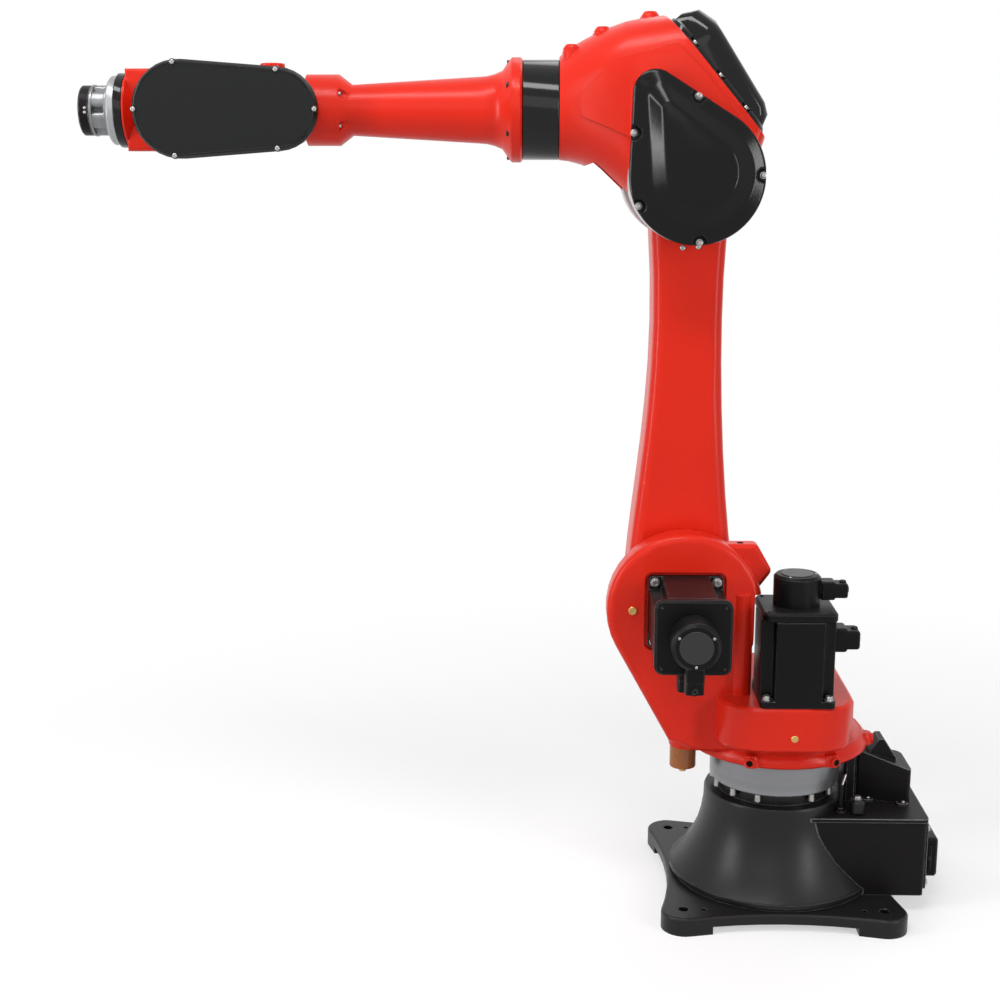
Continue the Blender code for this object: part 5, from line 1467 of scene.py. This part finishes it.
@dataclass(frozen=True)
class Lamp:
    """A rectangular soft lamp."""

    name: str
    place: tuple[float, float, float]
    size: tuple[float, float]
    power: float

    def build(self, aim: Vector) -> None:
        """Hangs the lamp so that it faces a point.

        Args:
            aim: the point.
        """
        data = bpy.data.lights.new(self.name, "AREA")
        data.shape = "RECTANGLE"
        data.size, data.size_y = self.size
        data.energy = self.power
        lamp = add_object(self.name, data)
        lamp.location = self.place
        lamp.rotation_euler = (aim - lamp.location).to_track_quat("-Z", "Y").to_euler()


@dataclass
class Studio:
    """Camera, pale floor and soft lamps."""

    camera_place: tuple[float, float, float] = (0.370, 2.376, 1.127)
    camera_turn_deg: float = 1.43
    camera_tilt_deg: float = 12.0
    lens: float = 57.6
    sensor: float = 36.0
    floor_half: float = 30.0
    floor_grey: float = 0.52
    shadow_reach: tuple[float, float] = (0.6, 1.8)
    ambient: float = 0.30
    aim: tuple[float, float, float] = (0.30, 0.0, 0.75)
    lamps: tuple[Lamp, ...] = (
        Lamp("key_strip", (0.95, 1.20, 3.30), (2.2, 0.50), 48.0),
        Lamp("front_fill", (0.90, 3.60, 2.30), (2.6, 1.6), 14.0),
        Lamp("left_strip", (2.80, 1.20, 1.20), (0.35, 1.8), 36.0),
        Lamp("right_strip", (-1.90, 1.90, 1.20), (0.25, 1.8), 28.0),
        Lamp("top_back", (-0.40, -1.60, 2.90), (1.8, 1.2), 12.0),
    )

    def build(self) -> None:
        """Sets up the camera, the floor, the backdrop and the lamps."""
        self.build_camera()
        self.build_floor()
        self.build_world()
        for lamp in self.lamps:
            lamp.build(Vector(self.aim))
        bpy.context.scene.view_settings.view_transform = "Standard"

    def build_camera(self) -> None:
        """The camera at the photograph's viewing angle."""
        turn, tilt = math.radians(self.camera_turn_deg), math.radians(self.camera_tilt_deg)
        data = bpy.data.cameras.new("photo_camera")
        data.lens = self.lens
        data.sensor_width = self.sensor
        camera = add_object("photo_camera", data)
        camera.location = self.camera_place
        heading = Vector((math.sin(turn), -math.cos(turn), -math.tan(tilt)))
        camera.rotation_euler = heading.to_track_quat("-Z", "Y").to_euler()
        bpy.context.scene.camera = camera

    @staticmethod
    def ray_kinds(wiring: Wiring, *kinds: str) -> bpy.types.NodeSocket:
        """One for a ray of any of these kinds, and zero for any other.

        Args:
            wiring: the node tree.
            kinds: names of Light Path's outputs.

        Returns:
            The value.
        """
        rays = wiring.add("ShaderNodeLightPath")
        result = rays.outputs[kinds[0]]
        for kind in kinds[1:]:
            result = wiring.math("MAXIMUM", result, rays.outputs[kind])
        return result

    def build_floor(self) -> None:
        """A wide pale floor that is white to the camera and keeps the shadow near the foot."""
        half, grey = self.floor_half, self.floor_grey
        data = bpy.data.meshes.new("floor")
        data.from_pydata([(x * half, y * half, 0) for x, y in ((-1, -1), (1, -1), (1, 1), (-1, 1))], [],
                         [(0, 1, 2, 3)])
        floor = add_object("floor", data)
        material = bpy.data.materials.new("pale_floor")
        material.use_nodes = True
        wiring = Wiring(material.node_tree)
        material.node_tree.nodes.remove(material.node_tree.nodes["Principled BSDF"])
        seen = self.ray_kinds(wiring, "Is Camera Ray", "Is Glossy Ray")
        plain = wiring.add("ShaderNodeBsdfDiffuse", {"Color": (grey, grey, grey, 1.0)})
        glow = wiring.add("ShaderNodeEmission", {"Strength": wiring.math("MULTIPLY", seen, grey)})
        both = wiring.add("ShaderNodeAddShader", {0: plain.outputs[0], 1: glow.outputs[0]})
        white = wiring.add("ShaderNodeEmission", {"Strength": 1.0})
        reach = wiring.vector("LENGTH", wiring.spot(), output="Value")
        far = wiring.add("ShaderNodeMapRange", {0: reach, 1: self.shadow_reach[0], 2: self.shadow_reach[1]},
                         interpolation_type="SMOOTHSTEP")
        blend = wiring.add("ShaderNodeMixShader", {
            0: wiring.math("MULTIPLY", far.outputs[0], seen), 1: both.outputs[0], 2: white.outputs[0]})
        output = material.node_tree.nodes["Material Output"]
        material.node_tree.links.new(blend.outputs[0], output.inputs["Surface"])
        data.materials.append(material)

    def build_world(self) -> None:
        """White behind the object, and softer light on it."""
        world = bpy.data.worlds.new("studio")
        bpy.context.scene.world = world
        world.use_nodes = True
        wiring = Wiring(world.node_tree)
        seen = self.ray_kinds(wiring, "Is Camera Ray", "Is Glossy Ray", "Is Transmission Ray")
        shade = world.node_tree.nodes["Background"]
        shade.inputs["Color"].default_value = (1.0, 1.0, 1.0, 1.0)
        strength = wiring.math("ADD", self.ambient, wiring.math("MULTIPLY", seen, 1.0 - self.ambient))
        world.node_tree.links.new(strength, shade.inputs["Strength"])


def main() -> None:
    """Builds the assemblies in order."""
    logging.basicConfig(level=logging.INFO, format="%(name)s: %(message)s")
    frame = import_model()
    workshop = Workshop(frame)
    for assembly in (Base(workshop), Turret(workshop), LowerArm(workshop), Elbow(workshop), Forearm(workshop),
                     Wrist(workshop), Studio()):
        assembly.build()
        LOG.info("finished %s", type(assembly).__name__)


if __name__ == "__main__":
    main()
